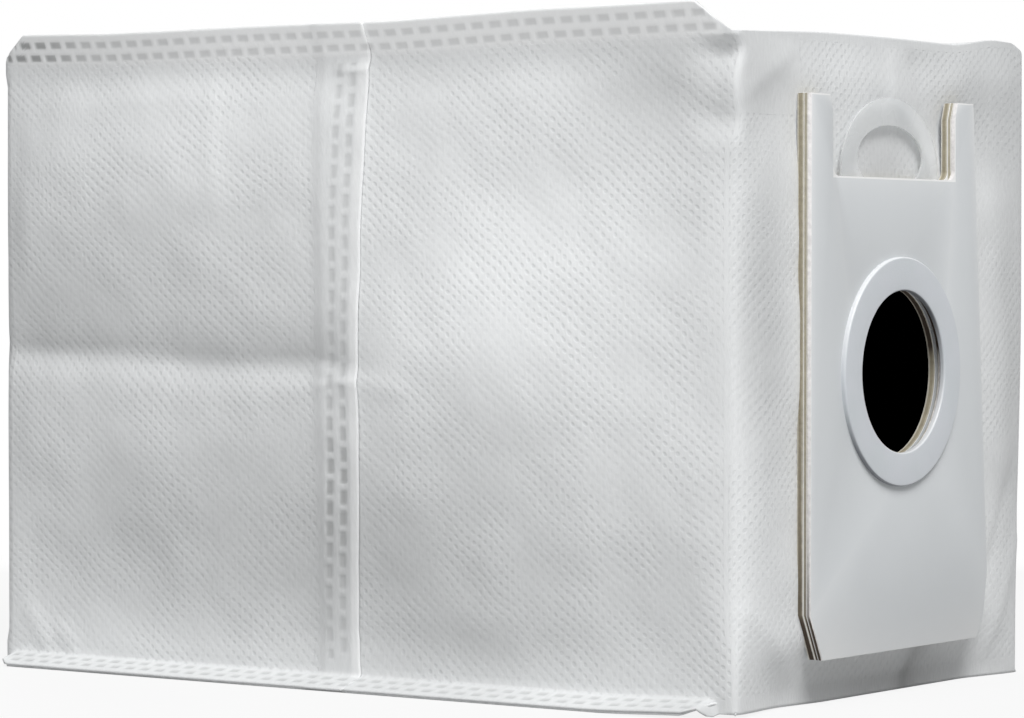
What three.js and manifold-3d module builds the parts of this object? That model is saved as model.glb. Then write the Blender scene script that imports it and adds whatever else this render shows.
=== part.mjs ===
// Dust bag for a robot vacuum's emptying station: a box of welded nonwoven cloth with a cardboard
// mounting card on one end, a pull shutter that slides inside the card, and a seal ring round the inlet.
// Millimetres, +Z up. The bag stands on its base, the seamed face looks along -Y and the card along +X.

import * as THREE from 'three';
import { mergeVertices, toCreasedNormals } from 'three/addons/utils/BufferGeometryUtils.js';
import Module from 'manifold-3d';

// Bag
const BAG_LENGTH = 188;
const BAG_DEPTH = 111;
const BAG_HEIGHT = 130;
const CLOTH = 0.7;
const WELD_GAP = 0.25;
const SEAT_CLEARANCE = 0.1;
const CORNER_RADIUS = 1.5;
const SOFT_CORNER_RADIUS = 6.5;
const SOFT_CORNER_POWER = 4;
const PILLOW = 1.1;

// Welded fins along the long edges
const FIN = 7;
const FIN_CHAMFER = 7.2;
const FIN_TO_CORNER = 0.5;
const FRONT_FIN_LEAN = 24;
const BACK_FIN_LEAN = 60;
const FOOT_FIN_DROP = 11;
const RIM = 0.7;
const RIM_ARCH = 1.1;

// Panels that close the top and the base
const PANEL_CROWN = 1.1;
const PANEL_FLANGE = 6;
const PANEL_FIN_SETBACK = 3.6;
const PANEL_END_INSET = 2;
const PANEL_SIDE_INSET = 0.6;
const PANEL_DROP = 1;
const PANEL_BACK_LIFT = 0.2;
const CROWN_EDGE = 0.12;
const BASE_RAMP = 12;

// Lap seam up the middle of the front
const LAP = 1.0;
const LAP_BACK = 5.4;
const LAP_EDGE_MIDDLE = 3.4;
const LAP_EDGE_TOP = 6.4;
const LAP_EDGE_FOOT = 4.4;
const LAP_ROUNDING = 0.3;

// Weld dashes, in two staggered rows along the front's upper fin and up the lap seam
const DASH_LONG = 2.8;
const DASH_WIDE = 1.6;
const DASH_DEPTH = 0.3;
const DASH_PITCH = 4.3;
const FIN_DASH_ROWS = [1.6, 4.5];
const LAP_DASH_ROWS = [{ foot: -3.8, top: -2.1 }, { foot: -0.1, top: 2.4 }];
const LAP_DASH_FOOT = 8;
const LAP_DASH_TOP = 126;
const DASH_FROM_FOLD = 7;

// Folds pressed into the cloth when the bag is packed flat
const CREASE_HEIGHT = 67;
const CREASE_SLOPE = 1.4;
const CREASE_DEPTH = 1.7;
const CREASE_ABOVE = 5;
const CREASE_BELOW = 1.2;
const CREASE_END = 16;
const CREASE_ROWS = [-9, -5, -2.5, -1, 1, 3, 7];
const END_FOLD = 1.3;
const END_FOLD_WIDTH = 5;

// Mounting card
const CARD_NEAR = -34.2;
const CARD_FAR_TOP = 29.4;
const CARD_FAR_FOOT = 35.6;
const CARD_FOOT = 9.3;
const CARD_CHAMFER_WIDE = 4.5;
const CARD_CHAMFER_HIGH = 9;
const CARD_FAR_BEND_WIDE = 1.5;
const CARD_FAR_BEND_HIGH = 4.5;
const CARD_FAR_BEND_TOP = 13.5;
const BACK_BOARD = 1.5;
const SPACER = 0.75;
const FRONT_BOARD = 1.0;

// Notch in the card for the finger
const NOTCH_CENTRE = -2.2;
const NOTCH_WIDTH = 47.8;
const NOTCH_BELOW_HOLE = 4;
const NOTCH_FILLET = 2;
const NOTCH_FLARE = 1.2;
const NOTCH_FLARE_HIGH = 3.5;

// Inlet
const INLET_ACROSS = -0.2;
const INLET_HEIGHT = 64.8;
const BOARD_HOLE_RADIUS = 17;
const CLOTH_HOLE_RADIUS = 17.6;
const PUNCH_REACH = 2;
const SEAL_OUTER_RADIUS = 22.9;
const SEAL_INNER_RADIUS = 16.2;
const SEAL = 1.0;
const SEAL_EDGE = 0.4;

// Shutter
const SHUTTER = 0.45;
const SHUTTER_CLEARANCE = 0.3;
const SHUTTER_TRAVEL = 35;
const SHUTTER_HOLE_RADIUS = 17;
const SHUTTER_FOOT_BAR = 3;
const EAR_WIDTH = 2.5;
const EAR_HEIGHT = 5;

// Pull tab of the shutter, with its oval finger hole
const TAB_WIDTH = 38;
const TAB_ARCH = 15;
const TAB_RIM = 5.6;
const TAB_WEB = 19.1;
const TAB_PROUD = 0.3;
const TAB_FOOT = 1;
const FINGER_HOLE_WIDTH = 25.6;
const FINGER_HOLE_HEIGHT = 13;

// Fineness of the curved stretches
const SIDE_STEPS = 6;
const END_STEPS = 10;
const BACK_STEPS = 12;
const PANEL_STEPS = 8;
const CROWN_STEPS = 3;
const CORNER_STEPS = 3;
const CIRCLE_STEPS = 48;
const WALL_STEPS = 4;
const FIRST_ROW = 10;
const LAST_ROW = 4;
const FOLD_REACH = 15;
const CREASED_ANGLE = THREE.MathUtils.degToRad(35);

// Values worked out from the sizes above
const CARD_STACK = BACK_BOARD + SPACER + FRONT_BOARD;
const BAG_CENTRE_X = -(WELD_GAP + CARD_STACK + SEAL) / 2;
const BAG_END_X = BAG_CENTRE_X + BAG_LENGTH / 2;
const CARD_X = BAG_END_X + WELD_GAP;
const FRONT_LEAN = THREE.MathUtils.degToRad(FRONT_FIN_LEAN);
const BACK_LEAN = THREE.MathUtils.degToRad(BACK_FIN_LEAN);
const DROP = THREE.MathUtils.degToRad(FOOT_FIN_DROP);
const PLY = CLOTH + WELD_GAP;
const FOOT = FIN * Math.sin(DROP) + (PLY + CLOTH) * Math.cos(DROP);
const FINGER_HOLE_CENTRE = INLET_HEIGHT + SHUTTER_HOLE_RADIUS + TAB_WEB + FINGER_HOLE_HEIGHT / 2;
const NOTCH_FOOT = FINGER_HOLE_CENTRE - NOTCH_BELOW_HOLE;
const TAB_TOP = FINGER_HOLE_CENTRE + FINGER_HOLE_HEIGHT / 2 + TAB_RIM;
const CARD_TOP = TAB_TOP - TAB_PROUD;

const wasm = await Module();
wasm.setup();

// Solids for joining and cutting

function solidOf(geometry) {
  const bare = geometry.clone();
  bare.deleteAttribute('normal');
  bare.deleteAttribute('uv');
  const merged = mergeVertices(bare, 1e-4);
  return new wasm.Manifold(new wasm.Mesh({
    numProp: 3,
    vertProperties: new Float32Array(merged.attributes.position.array),
    triVerts: new Uint32Array(merged.index.array),
  }));
}

function geometryOf(solid) {
  const mesh = solid.getMesh();
  const geometry = new THREE.BufferGeometry();
  geometry.setAttribute('position', new THREE.BufferAttribute(mesh.vertProperties, 3));
  geometry.setIndex(new THREE.BufferAttribute(mesh.triVerts, 1));
  return toCreasedNormals(geometry, CREASED_ANGLE);
}

// A shape drawn across (Y) and up (Z), given its thickness along X from x = 0
function plateAlongX(shape, thickness) {
  const geometry = new THREE.ExtrudeGeometry(shape, {
    depth: thickness,
    bevelEnabled: false,
    curveSegments: CIRCLE_STEPS / 2,
  });
  const across = new THREE.Vector3(0, 1, 0);
  const up = new THREE.Vector3(0, 0, 1);
  const along = new THREE.Vector3(1, 0, 0);
  return geometry.applyMatrix4(new THREE.Matrix4().makeBasis(across, up, along));
}

function ovalPath(across, height, halfWide, halfHigh = halfWide) {
  const path = new THREE.Path();
  path.absellipse(across, height, halfWide, halfHigh, 0, 2 * Math.PI, true);
  return path;
}

// A cloth sheet: its outward face is a grid of points, and its thickness goes inwards from there.
// Rows run up the grid and columns run anticlockwise seen along the outward normal's tail.
function sheetGeometry(rows, closed) {
  const rowCount = rows.length;
  const columnCount = rows[0].length;
  const wrap = (c) => (closed ? (c + columnCount) % columnCount : c);
  const inside = (r, c) => r >= 0 && r < rowCount && (closed || (c >= 0 && c < columnCount));

  const faceNormal = (r, c, dr, dc) => {
    if (!inside(r + dr, c) || !inside(r, c + dc)) {
      return null;
    }
    const here = rows[r][wrap(c)];
    const up = rows[r + dr][wrap(c)].clone().sub(here).multiplyScalar(dr);
    const over = rows[r][wrap(c + dc)].clone().sub(here).multiplyScalar(dc);
    return over.cross(up).normalize();
  };

  const positions = [];
  const backs = [];
  for (let r = 0; r < rowCount; r += 1) {
    for (let c = 0; c < columnCount; c += 1) {
      const normals = [[1, 1], [1, -1], [-1, 1], [-1, -1]]
        .map(([dr, dc]) => faceNormal(r, c, dr, dc))
        .filter((normal) => normal !== null && normal.lengthSq() > 0.5);
      const mean = new THREE.Vector3();
      normals.forEach((normal) => mean.add(normal));
      mean.normalize();
      const spread = Math.min(...normals.map((normal) => normal.dot(mean)));
      const point = rows[r][c];
      positions.push(point.x, point.y, point.z);
      const back = point.clone().addScaledVector(mean, -CLOTH / Math.max(spread, 0.7));
      backs.push(back.x, back.y, back.z);
    }
  }

  const backStart = rowCount * columnCount;
  const front = (r, c) => r * columnCount + wrap(c);
  const back = (r, c) => backStart + front(r, c);
  const places = [...positions, ...backs];
  const place = (i) => new THREE.Vector3().fromArray(places, 3 * i);
  const triangles = [];
  const quad = (a, b, c, d) => {
    if (place(a).distanceTo(place(c)) < place(b).distanceTo(place(d))) {
      triangles.push(a, b, c, a, c, d);
    } else {
      triangles.push(b, c, d, b, d, a);
    }
  };
  const lastColumn = closed ? columnCount : columnCount - 1;
  for (let r = 0; r < rowCount - 1; r += 1) {
    for (let c = 0; c < lastColumn; c += 1) {
      quad(front(r, c), front(r, c + 1), front(r + 1, c + 1), front(r + 1, c));
      quad(back(r, c), back(r + 1, c), back(r + 1, c + 1), back(r, c + 1));
    }
    if (!closed) {
      quad(front(r, 0), front(r + 1, 0), back(r + 1, 0), back(r, 0));
      quad(front(r, lastColumn), back(r, lastColumn), back(r + 1, lastColumn), front(r + 1, lastColumn));
    }
  }
  for (let c = 0; c < lastColumn; c += 1) {
    quad(front(0, c), back(0, c), back(0, c + 1), front(0, c + 1));
    const r = rowCount - 1;
    quad(front(r, c), front(r, c + 1), back(r, c + 1), back(r, c));
  }

  const geometry = new THREE.BufferGeometry();
  geometry.setAttribute('position', new THREE.Float32BufferAttribute(places, 3));
  geometry.setIndex(triangles);
  geometry.computeVertexNormals();
  return geometry;
}

// Form of the cloth walls

function smooth(value) {
  const t = THREE.MathUtils.clamp(value, 0, 1);
  return t * t * (3 - 2 * t);
}

function steps(from, to, count) {
  return Array.from({ length: count + 1 }, (_, i) => from + ((to - from) * i) / count);
}

function lapEdge(z) {
  const up = z / BAG_HEIGHT;
  if (up > 0.5) {
    return LAP_EDGE_MIDDLE + (LAP_EDGE_TOP - LAP_EDGE_MIDDLE) * (2 * up - 1) ** 2;
  }
  return LAP_EDGE_MIDDLE + (LAP_EDGE_FOOT - LAP_EDGE_MIDDLE) * (1 - 2 * up) ** 2;
}

function pillow(along, length, z) {
  const side = 1 - (2 * along / length) ** 2;
  const up = 1 - (2 * z / BAG_HEIGHT - 1) ** 2;
  return PILLOW * Math.max(side, 0) * Math.max(up, 0);
}

function creaseDepth(x, z) {
  const line = CREASE_HEIGHT - (CREASE_SLOPE * x) / (BAG_LENGTH / 2);
  const above = z - line;
  const falloff = above > 0 ? Math.exp(-above / CREASE_ABOVE) : Math.exp(above / CREASE_BELOW);
  return CREASE_DEPTH * falloff * smooth((CREASE_END - x) / CREASE_END);
}

function endFoldDepth(across, z) {
  const up = 1 - (2 * z / BAG_HEIGHT - 1) ** 2;
  return END_FOLD * Math.max(up, 0) * Math.exp(-Math.abs(across) / END_FOLD_WIDTH);
}

function softRadius(z) {
  const up = 1 - (2 * z / BAG_HEIGHT - 1) ** SOFT_CORNER_POWER;
  return CORNER_RADIUS + (SOFT_CORNER_RADIUS - CORNER_RADIUS) * Math.max(up, 0);
}

// One ring of the wall at height z: for each column its place, its outward direction, whether a fin
// of full width stands there, and how far the lap seam lifts it
function wallRing(z) {
  const halfX = BAG_LENGTH / 2;
  const halfY = BAG_DEPTH / 2;
  const near = Math.min(softRadius(z), FIN_CHAMFER - FIN_TO_CORNER);
  const ring = [];
  const add = (x, y, nx, ny, out, full, lap = 0) => {
    ring.push({ x: x + nx * (out + lap), y: y + ny * (out + lap), nx, ny, full, lap });
  };

  const left = -halfX + CORNER_RADIUS;
  const right = halfX - near;
  const lapFree = lapEdge(z);
  const front = [
    left,
    ...steps(-halfX + FIN_CHAMFER, -LAP_BACK, SIDE_STEPS),
    -LAP_BACK + LAP_ROUNDING,
    0,
    lapFree - LAP_ROUNDING,
    ...steps(lapFree, halfX - FIN_CHAMFER, SIDE_STEPS),
    right,
  ];
  front.forEach((x, i) => {
    const onLap = x > -LAP_BACK && x < lapFree;
    const out = pillow(x, BAG_LENGTH, z) - creaseDepth(x, z);
    add(x, -halfY, 0, -1, out, i > 0 && i < front.length - 1, onLap ? LAP : 0);
  });

  const corner = (cx, cy, radius, start) => {
    for (let i = 1; i < CORNER_STEPS; i += 1) {
      const angle = start + (Math.PI / 2) * (i / CORNER_STEPS);
      const nx = Math.cos(angle);
      const ny = Math.sin(angle);
      add(cx + radius * nx, cy + radius * ny, nx, ny, 0, false);
    }
  };

  corner(halfX - near, -halfY + near, near, -Math.PI / 2);
  steps(-halfY + near, halfY - CORNER_RADIUS, END_STEPS).forEach((y) => {
    add(halfX, y, 1, 0, 0, false);
  });
  corner(halfX - CORNER_RADIUS, halfY - CORNER_RADIUS, CORNER_RADIUS, 0);
  const back = [
    halfX - CORNER_RADIUS,
    ...steps(halfX - FIN_CHAMFER, -halfX + FIN_CHAMFER, BACK_STEPS),
    -halfX + CORNER_RADIUS,
  ];
  back.forEach((x, i) => {
    add(x, halfY, 0, 1, pillow(x, BAG_LENGTH, z), i > 0 && i < back.length - 1);
  });
  corner(-halfX + CORNER_RADIUS, halfY - CORNER_RADIUS, CORNER_RADIUS, Math.PI / 2);
  steps(halfY - CORNER_RADIUS, -halfY + CORNER_RADIUS, END_STEPS).forEach((y) => {
    add(-halfX, y, -1, 0, -endFoldDepth(y, z), false);
  });
  corner(-halfX + CORNER_RADIUS, -halfY + CORNER_RADIUS, CORNER_RADIUS, Math.PI);
  return ring;
}

// Height of the wall's rim above the foot of the upper fins, along the short ends
function rimHeight(y) {
  return RIM + RIM_ARCH * Math.max(1 - (2 * y / BAG_DEPTH) ** 2, 0);
}

// A point of an upper fin, a distance up it and inwards from its outer face: how far out of the wall
// it lies, and its height
function finPoint(lean, up, inwards) {
  return [
    up * Math.sin(lean) - inwards * Math.cos(lean),
    BAG_HEIGHT + up * Math.cos(lean) + inwards * Math.sin(lean),
  ];
}

function wallRows() {
  const heights = [
    FOOT,
    ...steps(FOOT + FIRST_ROW, CREASE_HEIGHT - FOLD_REACH, WALL_STEPS),
    ...CREASE_ROWS.map((row) => CREASE_HEIGHT + row),
    ...steps(CREASE_HEIGHT + FOLD_REACH, BAG_HEIGHT - FIRST_ROW, WALL_STEPS),
    BAG_HEIGHT - LAST_ROW,
    BAG_HEIGHT,
  ];
  const point = (p, z, out) => new THREE.Vector3(BAG_CENTRE_X + p.x + p.nx * out, p.y + p.ny * out, z);
  const footFin = wallRing(FOOT).map((p) => (p.full
    ? point(p, FOOT - FIN * Math.sin(DROP), FIN * Math.cos(DROP) - p.lap)
    : point(p, 0, 0)));
  const topFin = wallRing(BAG_HEIGHT).map((p) => {
    const [out, z] = finPoint(p.ny > 0 ? BACK_LEAN : FRONT_LEAN, FIN, 0);
    return p.full ? point(p, z, out - p.lap) : point(p, BAG_HEIGHT + rimHeight(p.y), 0);
  });
  return [footFin, ...heights.map((z) => wallRing(z).map((p) => point(p, z, 0))), topFin];
}

// A weld dash pressed into the cloth: a shallow box round a point of the outer face
function dash(point, along, outwards) {
  const aside = new THREE.Vector3().crossVectors(outwards, along);
  const box = new THREE.BoxGeometry(DASH_LONG, DASH_WIDE, 2 * DASH_DEPTH);
  return solidOf(box.applyMatrix4(new THREE.Matrix4().makeBasis(along, aside, outwards).setPosition(point)));
}

// Starts of the dashes in a row, every second row shifted by half a pitch
function dashPlaces(from, to, row) {
  const count = Math.floor((to - from) / DASH_PITCH);
  return Array.from({ length: count }, (_, i) => from + (i + (row + 1) / 2) * DASH_PITCH);
}

function finDashes() {
  const along = new THREE.Vector3(1, 0, 0);
  const outwards = new THREE.Vector3(0, -Math.cos(FRONT_LEAN), -Math.sin(FRONT_LEAN));
  const reach = BAG_LENGTH / 2 - FIN_CHAMFER;
  const besideLap = (x) => x + DASH_LONG < -LAP_BACK || x - DASH_LONG > LAP_EDGE_TOP;
  return FIN_DASH_ROWS.flatMap((up, row) => dashPlaces(-reach, reach, row).filter(besideLap).map((x) => {
    const [out, z] = finPoint(FRONT_LEAN, up, 0);
    return dash(new THREE.Vector3(BAG_CENTRE_X + x, -BAG_DEPTH / 2 - out, z), along, outwards);
  }));
}

function lapDashes() {
  const along = new THREE.Vector3(0, 0, 1);
  const outwards = new THREE.Vector3(0, -1, 0);
  const offFold = (z) => Math.abs(z - CREASE_HEIGHT) > DASH_FROM_FOLD;
  const places = (row) => dashPlaces(LAP_DASH_FOOT, LAP_DASH_TOP, row).filter(offFold);
  return LAP_DASH_ROWS.flatMap(({ foot, top }, row) => places(row).map((z) => {
    const x = THREE.MathUtils.lerp(foot, top, z / BAG_HEIGHT);
    const out = pillow(x, BAG_LENGTH, z) - creaseDepth(x, z) + LAP;
    return dash(new THREE.Vector3(BAG_CENTRE_X + x, -BAG_DEPTH / 2 - out, z), along, outwards);
  }));
}

function wallSheet() {
  const wall = solidOf(sheetGeometry(wallRows(), true));
  const punch = new THREE.Shape();
  punch.absarc(INLET_ACROSS, INLET_HEIGHT, CLOTH_HOLE_RADIUS, 0, 2 * Math.PI, false);
  const hole = plateAlongX(punch, 2 * PUNCH_REACH);
  hole.translate(BAG_END_X - PUNCH_REACH, 0, 0);
  const cuts = wasm.Manifold.union([solidOf(hole), ...finDashes(), ...lapDashes()]);
  return geometryOf(wall.subtract(cuts));
}

// Half of a panel's section, from its fin's tip to the middle: how far each point lies out of the wall's
// outer face, and its height. Its first two points belong to the fin.
const FIN_POINTS = 2;

function topHalf(full, lean, foldHeight) {
  const edge = -PLY - PANEL_SIDE_INSET;
  const level = BAG_HEIGHT - PANEL_DROP;
  const crown = steps(CROWN_EDGE, 1 - CROWN_EDGE, CROWN_STEPS)
    .map((share) => [-share * BAG_DEPTH / 2, level + PANEL_CROWN * (1 - (1 - share) ** 2)]);
  return [
    full ? finPoint(lean, FIN, PLY) : [edge, BAG_HEIGHT + RIM],
    [edge, foldHeight],
    ...crown,
    [-BAG_DEPTH / 2, level + PANEL_CROWN],
  ];
}

function baseHalf(full) {
  const tipOut = FIN * Math.cos(DROP) - PLY * Math.sin(DROP);
  const tipHeight = FOOT - FIN * Math.sin(DROP) - PLY * Math.cos(DROP);
  return [
    full ? [tipOut, tipHeight] : [-PLY - PANEL_END_INSET, CLOTH],
    [-PLY - (full ? SEAT_CLEARANCE : PANEL_END_INSET), FOOT - PLY],
    [-BASE_RAMP, CLOTH],
    [-BAG_DEPTH / 2, CLOTH],
  ];
}

// A panel's section at one place along the bag. Flanges are turned into the bag and narrowed.
function panelSection(top, full, flange) {
  const turned = flange ? (top ? -PANEL_FLANGE : PANEL_FLANGE) : 0;
  const narrowed = flange ? PANEL_FLANGE / 2 : 0;
  const place = (side) => ([out, z], i) => {
    const edge = BAG_DEPTH / 2 + out - (i < FIN_POINTS ? narrowed : 0);
    return [side * edge, z + turned];
  };
  const front = top ? topHalf(full, FRONT_LEAN, BAG_HEIGHT - PANEL_DROP) : baseHalf(full);
  const back = top ? topHalf(full, BACK_LEAN, BAG_HEIGHT + PANEL_BACK_LIFT) : baseHalf(full);
  return [...front.map(place(-1)), ...back.map(place(1)).slice(0, -1).reverse()];
}

// A panel that closes the top or the base. Its welded face follows the inside of the wall's fins,
// and its short ends turn into the bag as flanges.
function panelSheet(top) {
  const halfX = BAG_LENGTH / 2 - PLY - CLOTH;
  const fullX = BAG_LENGTH / 2 - FIN_CHAMFER - PANEL_FIN_SETBACK;
  const stations = [
    { x: -halfX, full: false, flange: true },
    { x: -halfX, full: false, flange: false },
    ...steps(-fullX, fullX, PANEL_STEPS).map((x) => ({ x, full: true, flange: false })),
    { x: halfX, full: false, flange: false },
    { x: halfX, full: false, flange: true },
  ];
  const rows = stations.map(({ x, full, flange }) => panelSection(top, full, flange)
    .map(([y, z]) => new THREE.Vector3(BAG_CENTRE_X + x, y, z)));
  return sheetGeometry(top ? rows : rows.map((row) => row.reverse()), false);
}

// Card pieces, drawn in the plane of the card

function cardOutline(notch) {
  const shape = new THREE.Shape();
  shape.moveTo(CARD_NEAR + CARD_CHAMFER_WIDE, CARD_FOOT);
  shape.lineTo(CARD_FAR_FOOT - CARD_CHAMFER_WIDE, CARD_FOOT);
  shape.lineTo(CARD_FAR_FOOT - CARD_FAR_BEND_WIDE, CARD_FOOT + CARD_FAR_BEND_HIGH);
  shape.lineTo(CARD_FAR_FOOT, CARD_FOOT + CARD_FAR_BEND_TOP);
  shape.lineTo(CARD_FAR_TOP, CARD_TOP);
  notch(shape);
  shape.lineTo(CARD_NEAR, CARD_TOP);
  shape.lineTo(CARD_NEAR, CARD_FOOT + CARD_CHAMFER_HIGH);
  shape.closePath();
  return shape;
}

function fingerNotch(shape) {
  const near = NOTCH_CENTRE - NOTCH_WIDTH / 2;
  const far = NOTCH_CENTRE + NOTCH_WIDTH / 2;
  shape.lineTo(far + NOTCH_FLARE, CARD_TOP);
  shape.lineTo(far, CARD_TOP - NOTCH_FLARE_HIGH);
  shape.lineTo(far, NOTCH_FOOT + NOTCH_FILLET);
  shape.absarc(far - NOTCH_FILLET, NOTCH_FOOT + NOTCH_FILLET, NOTCH_FILLET, 0, -Math.PI / 2, true);
  shape.lineTo(near + NOTCH_FILLET, NOTCH_FOOT);
  shape.absarc(near + NOTCH_FILLET, NOTCH_FOOT + NOTCH_FILLET, NOTCH_FILLET, -Math.PI / 2, -Math.PI, true);
  shape.lineTo(near, CARD_TOP - NOTCH_FLARE_HIGH);
  shape.lineTo(near - NOTCH_FLARE, CARD_TOP);
}

// Where the shutter's ears stop at the end of its travel
const SHUTTER_FOOT = CARD_FOOT + SHUTTER_FOOT_BAR + SHUTTER_CLEARANCE;
const EAR_STOP = SHUTTER_FOOT + EAR_HEIGHT + SHUTTER_TRAVEL + SHUTTER_CLEARANCE;

function shutterChannel(shape) {
  const half = NOTCH_WIDTH / 2;
  const wide = half + EAR_WIDTH;
  shape.lineTo(NOTCH_CENTRE + half + NOTCH_FLARE, CARD_TOP);
  shape.lineTo(NOTCH_CENTRE + half, CARD_TOP - NOTCH_FLARE_HIGH);
  shape.lineTo(NOTCH_CENTRE + half, EAR_STOP);
  shape.lineTo(NOTCH_CENTRE + wide, EAR_STOP);
  shape.lineTo(NOTCH_CENTRE + wide, CARD_FOOT + SHUTTER_FOOT_BAR);
  shape.lineTo(NOTCH_CENTRE - wide, CARD_FOOT + SHUTTER_FOOT_BAR);
  shape.lineTo(NOTCH_CENTRE - wide, EAR_STOP);
  shape.lineTo(NOTCH_CENTRE - half, EAR_STOP);
  shape.lineTo(NOTCH_CENTRE - half, CARD_TOP - NOTCH_FLARE_HIGH);
  shape.lineTo(NOTCH_CENTRE - half - NOTCH_FLARE, CARD_TOP);
}

function board(thickness) {
  const shape = cardOutline(fingerNotch);
  shape.holes.push(ovalPath(INLET_ACROSS, INLET_HEIGHT, BOARD_HOLE_RADIUS));
  return plateAlongX(shape, thickness);
}

function shutterShape() {
  const half = NOTCH_WIDTH / 2 - SHUTTER_CLEARANCE;
  const wide = half + EAR_WIDTH;
  const tab = TAB_WIDTH / 2;
  const tabFoot = NOTCH_FOOT - TAB_FOOT;
  const shoulder = tabFoot - (half - tab);
  const at = (across, z) => [NOTCH_CENTRE + across, z];
  const shape = new THREE.Shape();
  shape.moveTo(...at(-wide, SHUTTER_FOOT));
  shape.lineTo(...at(wide, SHUTTER_FOOT));
  shape.lineTo(...at(wide, SHUTTER_FOOT + EAR_HEIGHT));
  shape.lineTo(...at(half, SHUTTER_FOOT + EAR_HEIGHT));
  shape.lineTo(...at(half, shoulder));
  shape.lineTo(...at(tab, tabFoot));
  shape.absellipse(NOTCH_CENTRE, TAB_TOP - TAB_ARCH, tab, TAB_ARCH, 0, Math.PI, false);
  shape.lineTo(...at(-tab, tabFoot));
  shape.lineTo(...at(-half, shoulder));
  shape.lineTo(...at(-half, SHUTTER_FOOT + EAR_HEIGHT));
  shape.lineTo(...at(-wide, SHUTTER_FOOT + EAR_HEIGHT));
  shape.closePath();
  shape.holes.push(ovalPath(INLET_ACROSS, INLET_HEIGHT, SHUTTER_HOLE_RADIUS));
  shape.holes.push(ovalPath(NOTCH_CENTRE, FINGER_HOLE_CENTRE, FINGER_HOLE_WIDTH / 2, FINGER_HOLE_HEIGHT / 2));
  return shape;
}

function sealRing() {
  const profile = [new THREE.Vector2(SEAL_INNER_RADIUS, 0)];
  profile.push(new THREE.Vector2(SEAL_OUTER_RADIUS, 0));
  profile.push(new THREE.Vector2(SEAL_OUTER_RADIUS, SEAL - SEAL_EDGE));
  profile.push(new THREE.Vector2(SEAL_OUTER_RADIUS - SEAL_EDGE, SEAL));
  profile.push(new THREE.Vector2(SEAL_INNER_RADIUS + SEAL_EDGE, SEAL));
  profile.push(new THREE.Vector2(SEAL_INNER_RADIUS, SEAL - SEAL_EDGE));
  profile.push(new THREE.Vector2(SEAL_INNER_RADIUS, 0));
  const ring = new THREE.LatheGeometry(profile, CIRCLE_STEPS);
  ring.rotateZ(-Math.PI / 2);
  return ring;
}

// Materials

const CLOTH_FINISH = { color: 0xd3d5d7, roughness: 0.9 };
const BOARD_FINISH = { color: 0xc3c6c7, roughness: 0.75 };
const BARE_BOARD_FINISH = { color: 0xb8a88c, roughness: 0.85 };
const SHUTTER_FINISH = { color: 0xd2d6d8, roughness: 0.35, transparent: true, opacity: 0.6 };
const SEAL_FINISH = { color: 0xd9d9e2, roughness: 0.5 };

// The pieces, each in its place

const SPACER_X = CARD_X + BACK_BOARD;
const FRONT_X = SPACER_X + SPACER;
const bag = new THREE.Group();

function addPiece(name, geometry, finish, x = 0, y = 0, z = 0) {
  const mesh = new THREE.Mesh(geometry, new THREE.MeshStandardMaterial({ metalness: 0, ...finish }));
  mesh.name = name;
  mesh.position.set(x, y, z);
  bag.add(mesh);
}

addPiece('wall_sheet', wallSheet(), CLOTH_FINISH);
addPiece('top_panel', panelSheet(true), CLOTH_FINISH);
addPiece('bottom_panel', panelSheet(false), CLOTH_FINISH);
addPiece('back_board', board(BACK_BOARD), BOARD_FINISH, CARD_X);
addPiece('spacer_frame', plateAlongX(cardOutline(shutterChannel), SPACER), BARE_BOARD_FINISH, SPACER_X);
addPiece('front_board', board(FRONT_BOARD), BOARD_FINISH, FRONT_X);
addPiece('closure_slide', plateAlongX(shutterShape(), SHUTTER), SHUTTER_FINISH,
  SPACER_X + (SPACER - SHUTTER) / 2);
addPiece('inlet_gasket', sealRing(), SEAL_FINISH, FRONT_X + FRONT_BOARD, INLET_ACROSS, INLET_HEIGHT);

export default bag;
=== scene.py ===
"""Looks of a box-shaped dust bag of welded nonwoven cloth, with its mounting card, pull shutter and seal.

The cloth pieces start as flat sheets, which are cut, creased and folded round the box. The card pieces start
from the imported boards. Sizes in the classes are millimetres, and every mesh is written in metres, +Z up. The
seamed front of the bag looks along -Y and the mounting card along +X.
"""

import logging
import math
from dataclasses import dataclass, field
from enum import Enum

import bmesh
import bpy
import numpy as np
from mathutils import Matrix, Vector

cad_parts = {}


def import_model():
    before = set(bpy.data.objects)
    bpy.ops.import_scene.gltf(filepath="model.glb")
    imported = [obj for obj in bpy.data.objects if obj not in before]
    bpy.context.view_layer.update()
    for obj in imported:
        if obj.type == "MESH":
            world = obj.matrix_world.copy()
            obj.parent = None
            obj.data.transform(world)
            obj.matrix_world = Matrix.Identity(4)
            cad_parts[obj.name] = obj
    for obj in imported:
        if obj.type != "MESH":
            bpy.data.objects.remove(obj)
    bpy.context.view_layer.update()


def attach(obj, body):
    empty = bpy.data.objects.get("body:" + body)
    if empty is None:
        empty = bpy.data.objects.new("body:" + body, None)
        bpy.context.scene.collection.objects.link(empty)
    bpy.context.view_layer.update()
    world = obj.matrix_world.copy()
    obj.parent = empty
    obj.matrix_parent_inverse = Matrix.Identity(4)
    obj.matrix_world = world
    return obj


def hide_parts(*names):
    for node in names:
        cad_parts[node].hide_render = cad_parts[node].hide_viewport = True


LOG = logging.getLogger("dust_bag")
MM = 0.001

JOIN_WITHIN = 1e-6
FLAT_WITHIN = math.radians(0.5)
BEVEL_FROM = math.radians(50)
BOARD_SPLIT = math.radians(28)
SEAL_SPLIT = math.radians(60)


class Side(Enum):
    """The four upright sides of the bag, each with its outward direction."""

    FRONT = (0.0, -1.0)
    CARD = (1.0, 0.0)
    BACK = (0.0, 1.0)
    PLAIN = (-1.0, 0.0)


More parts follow.
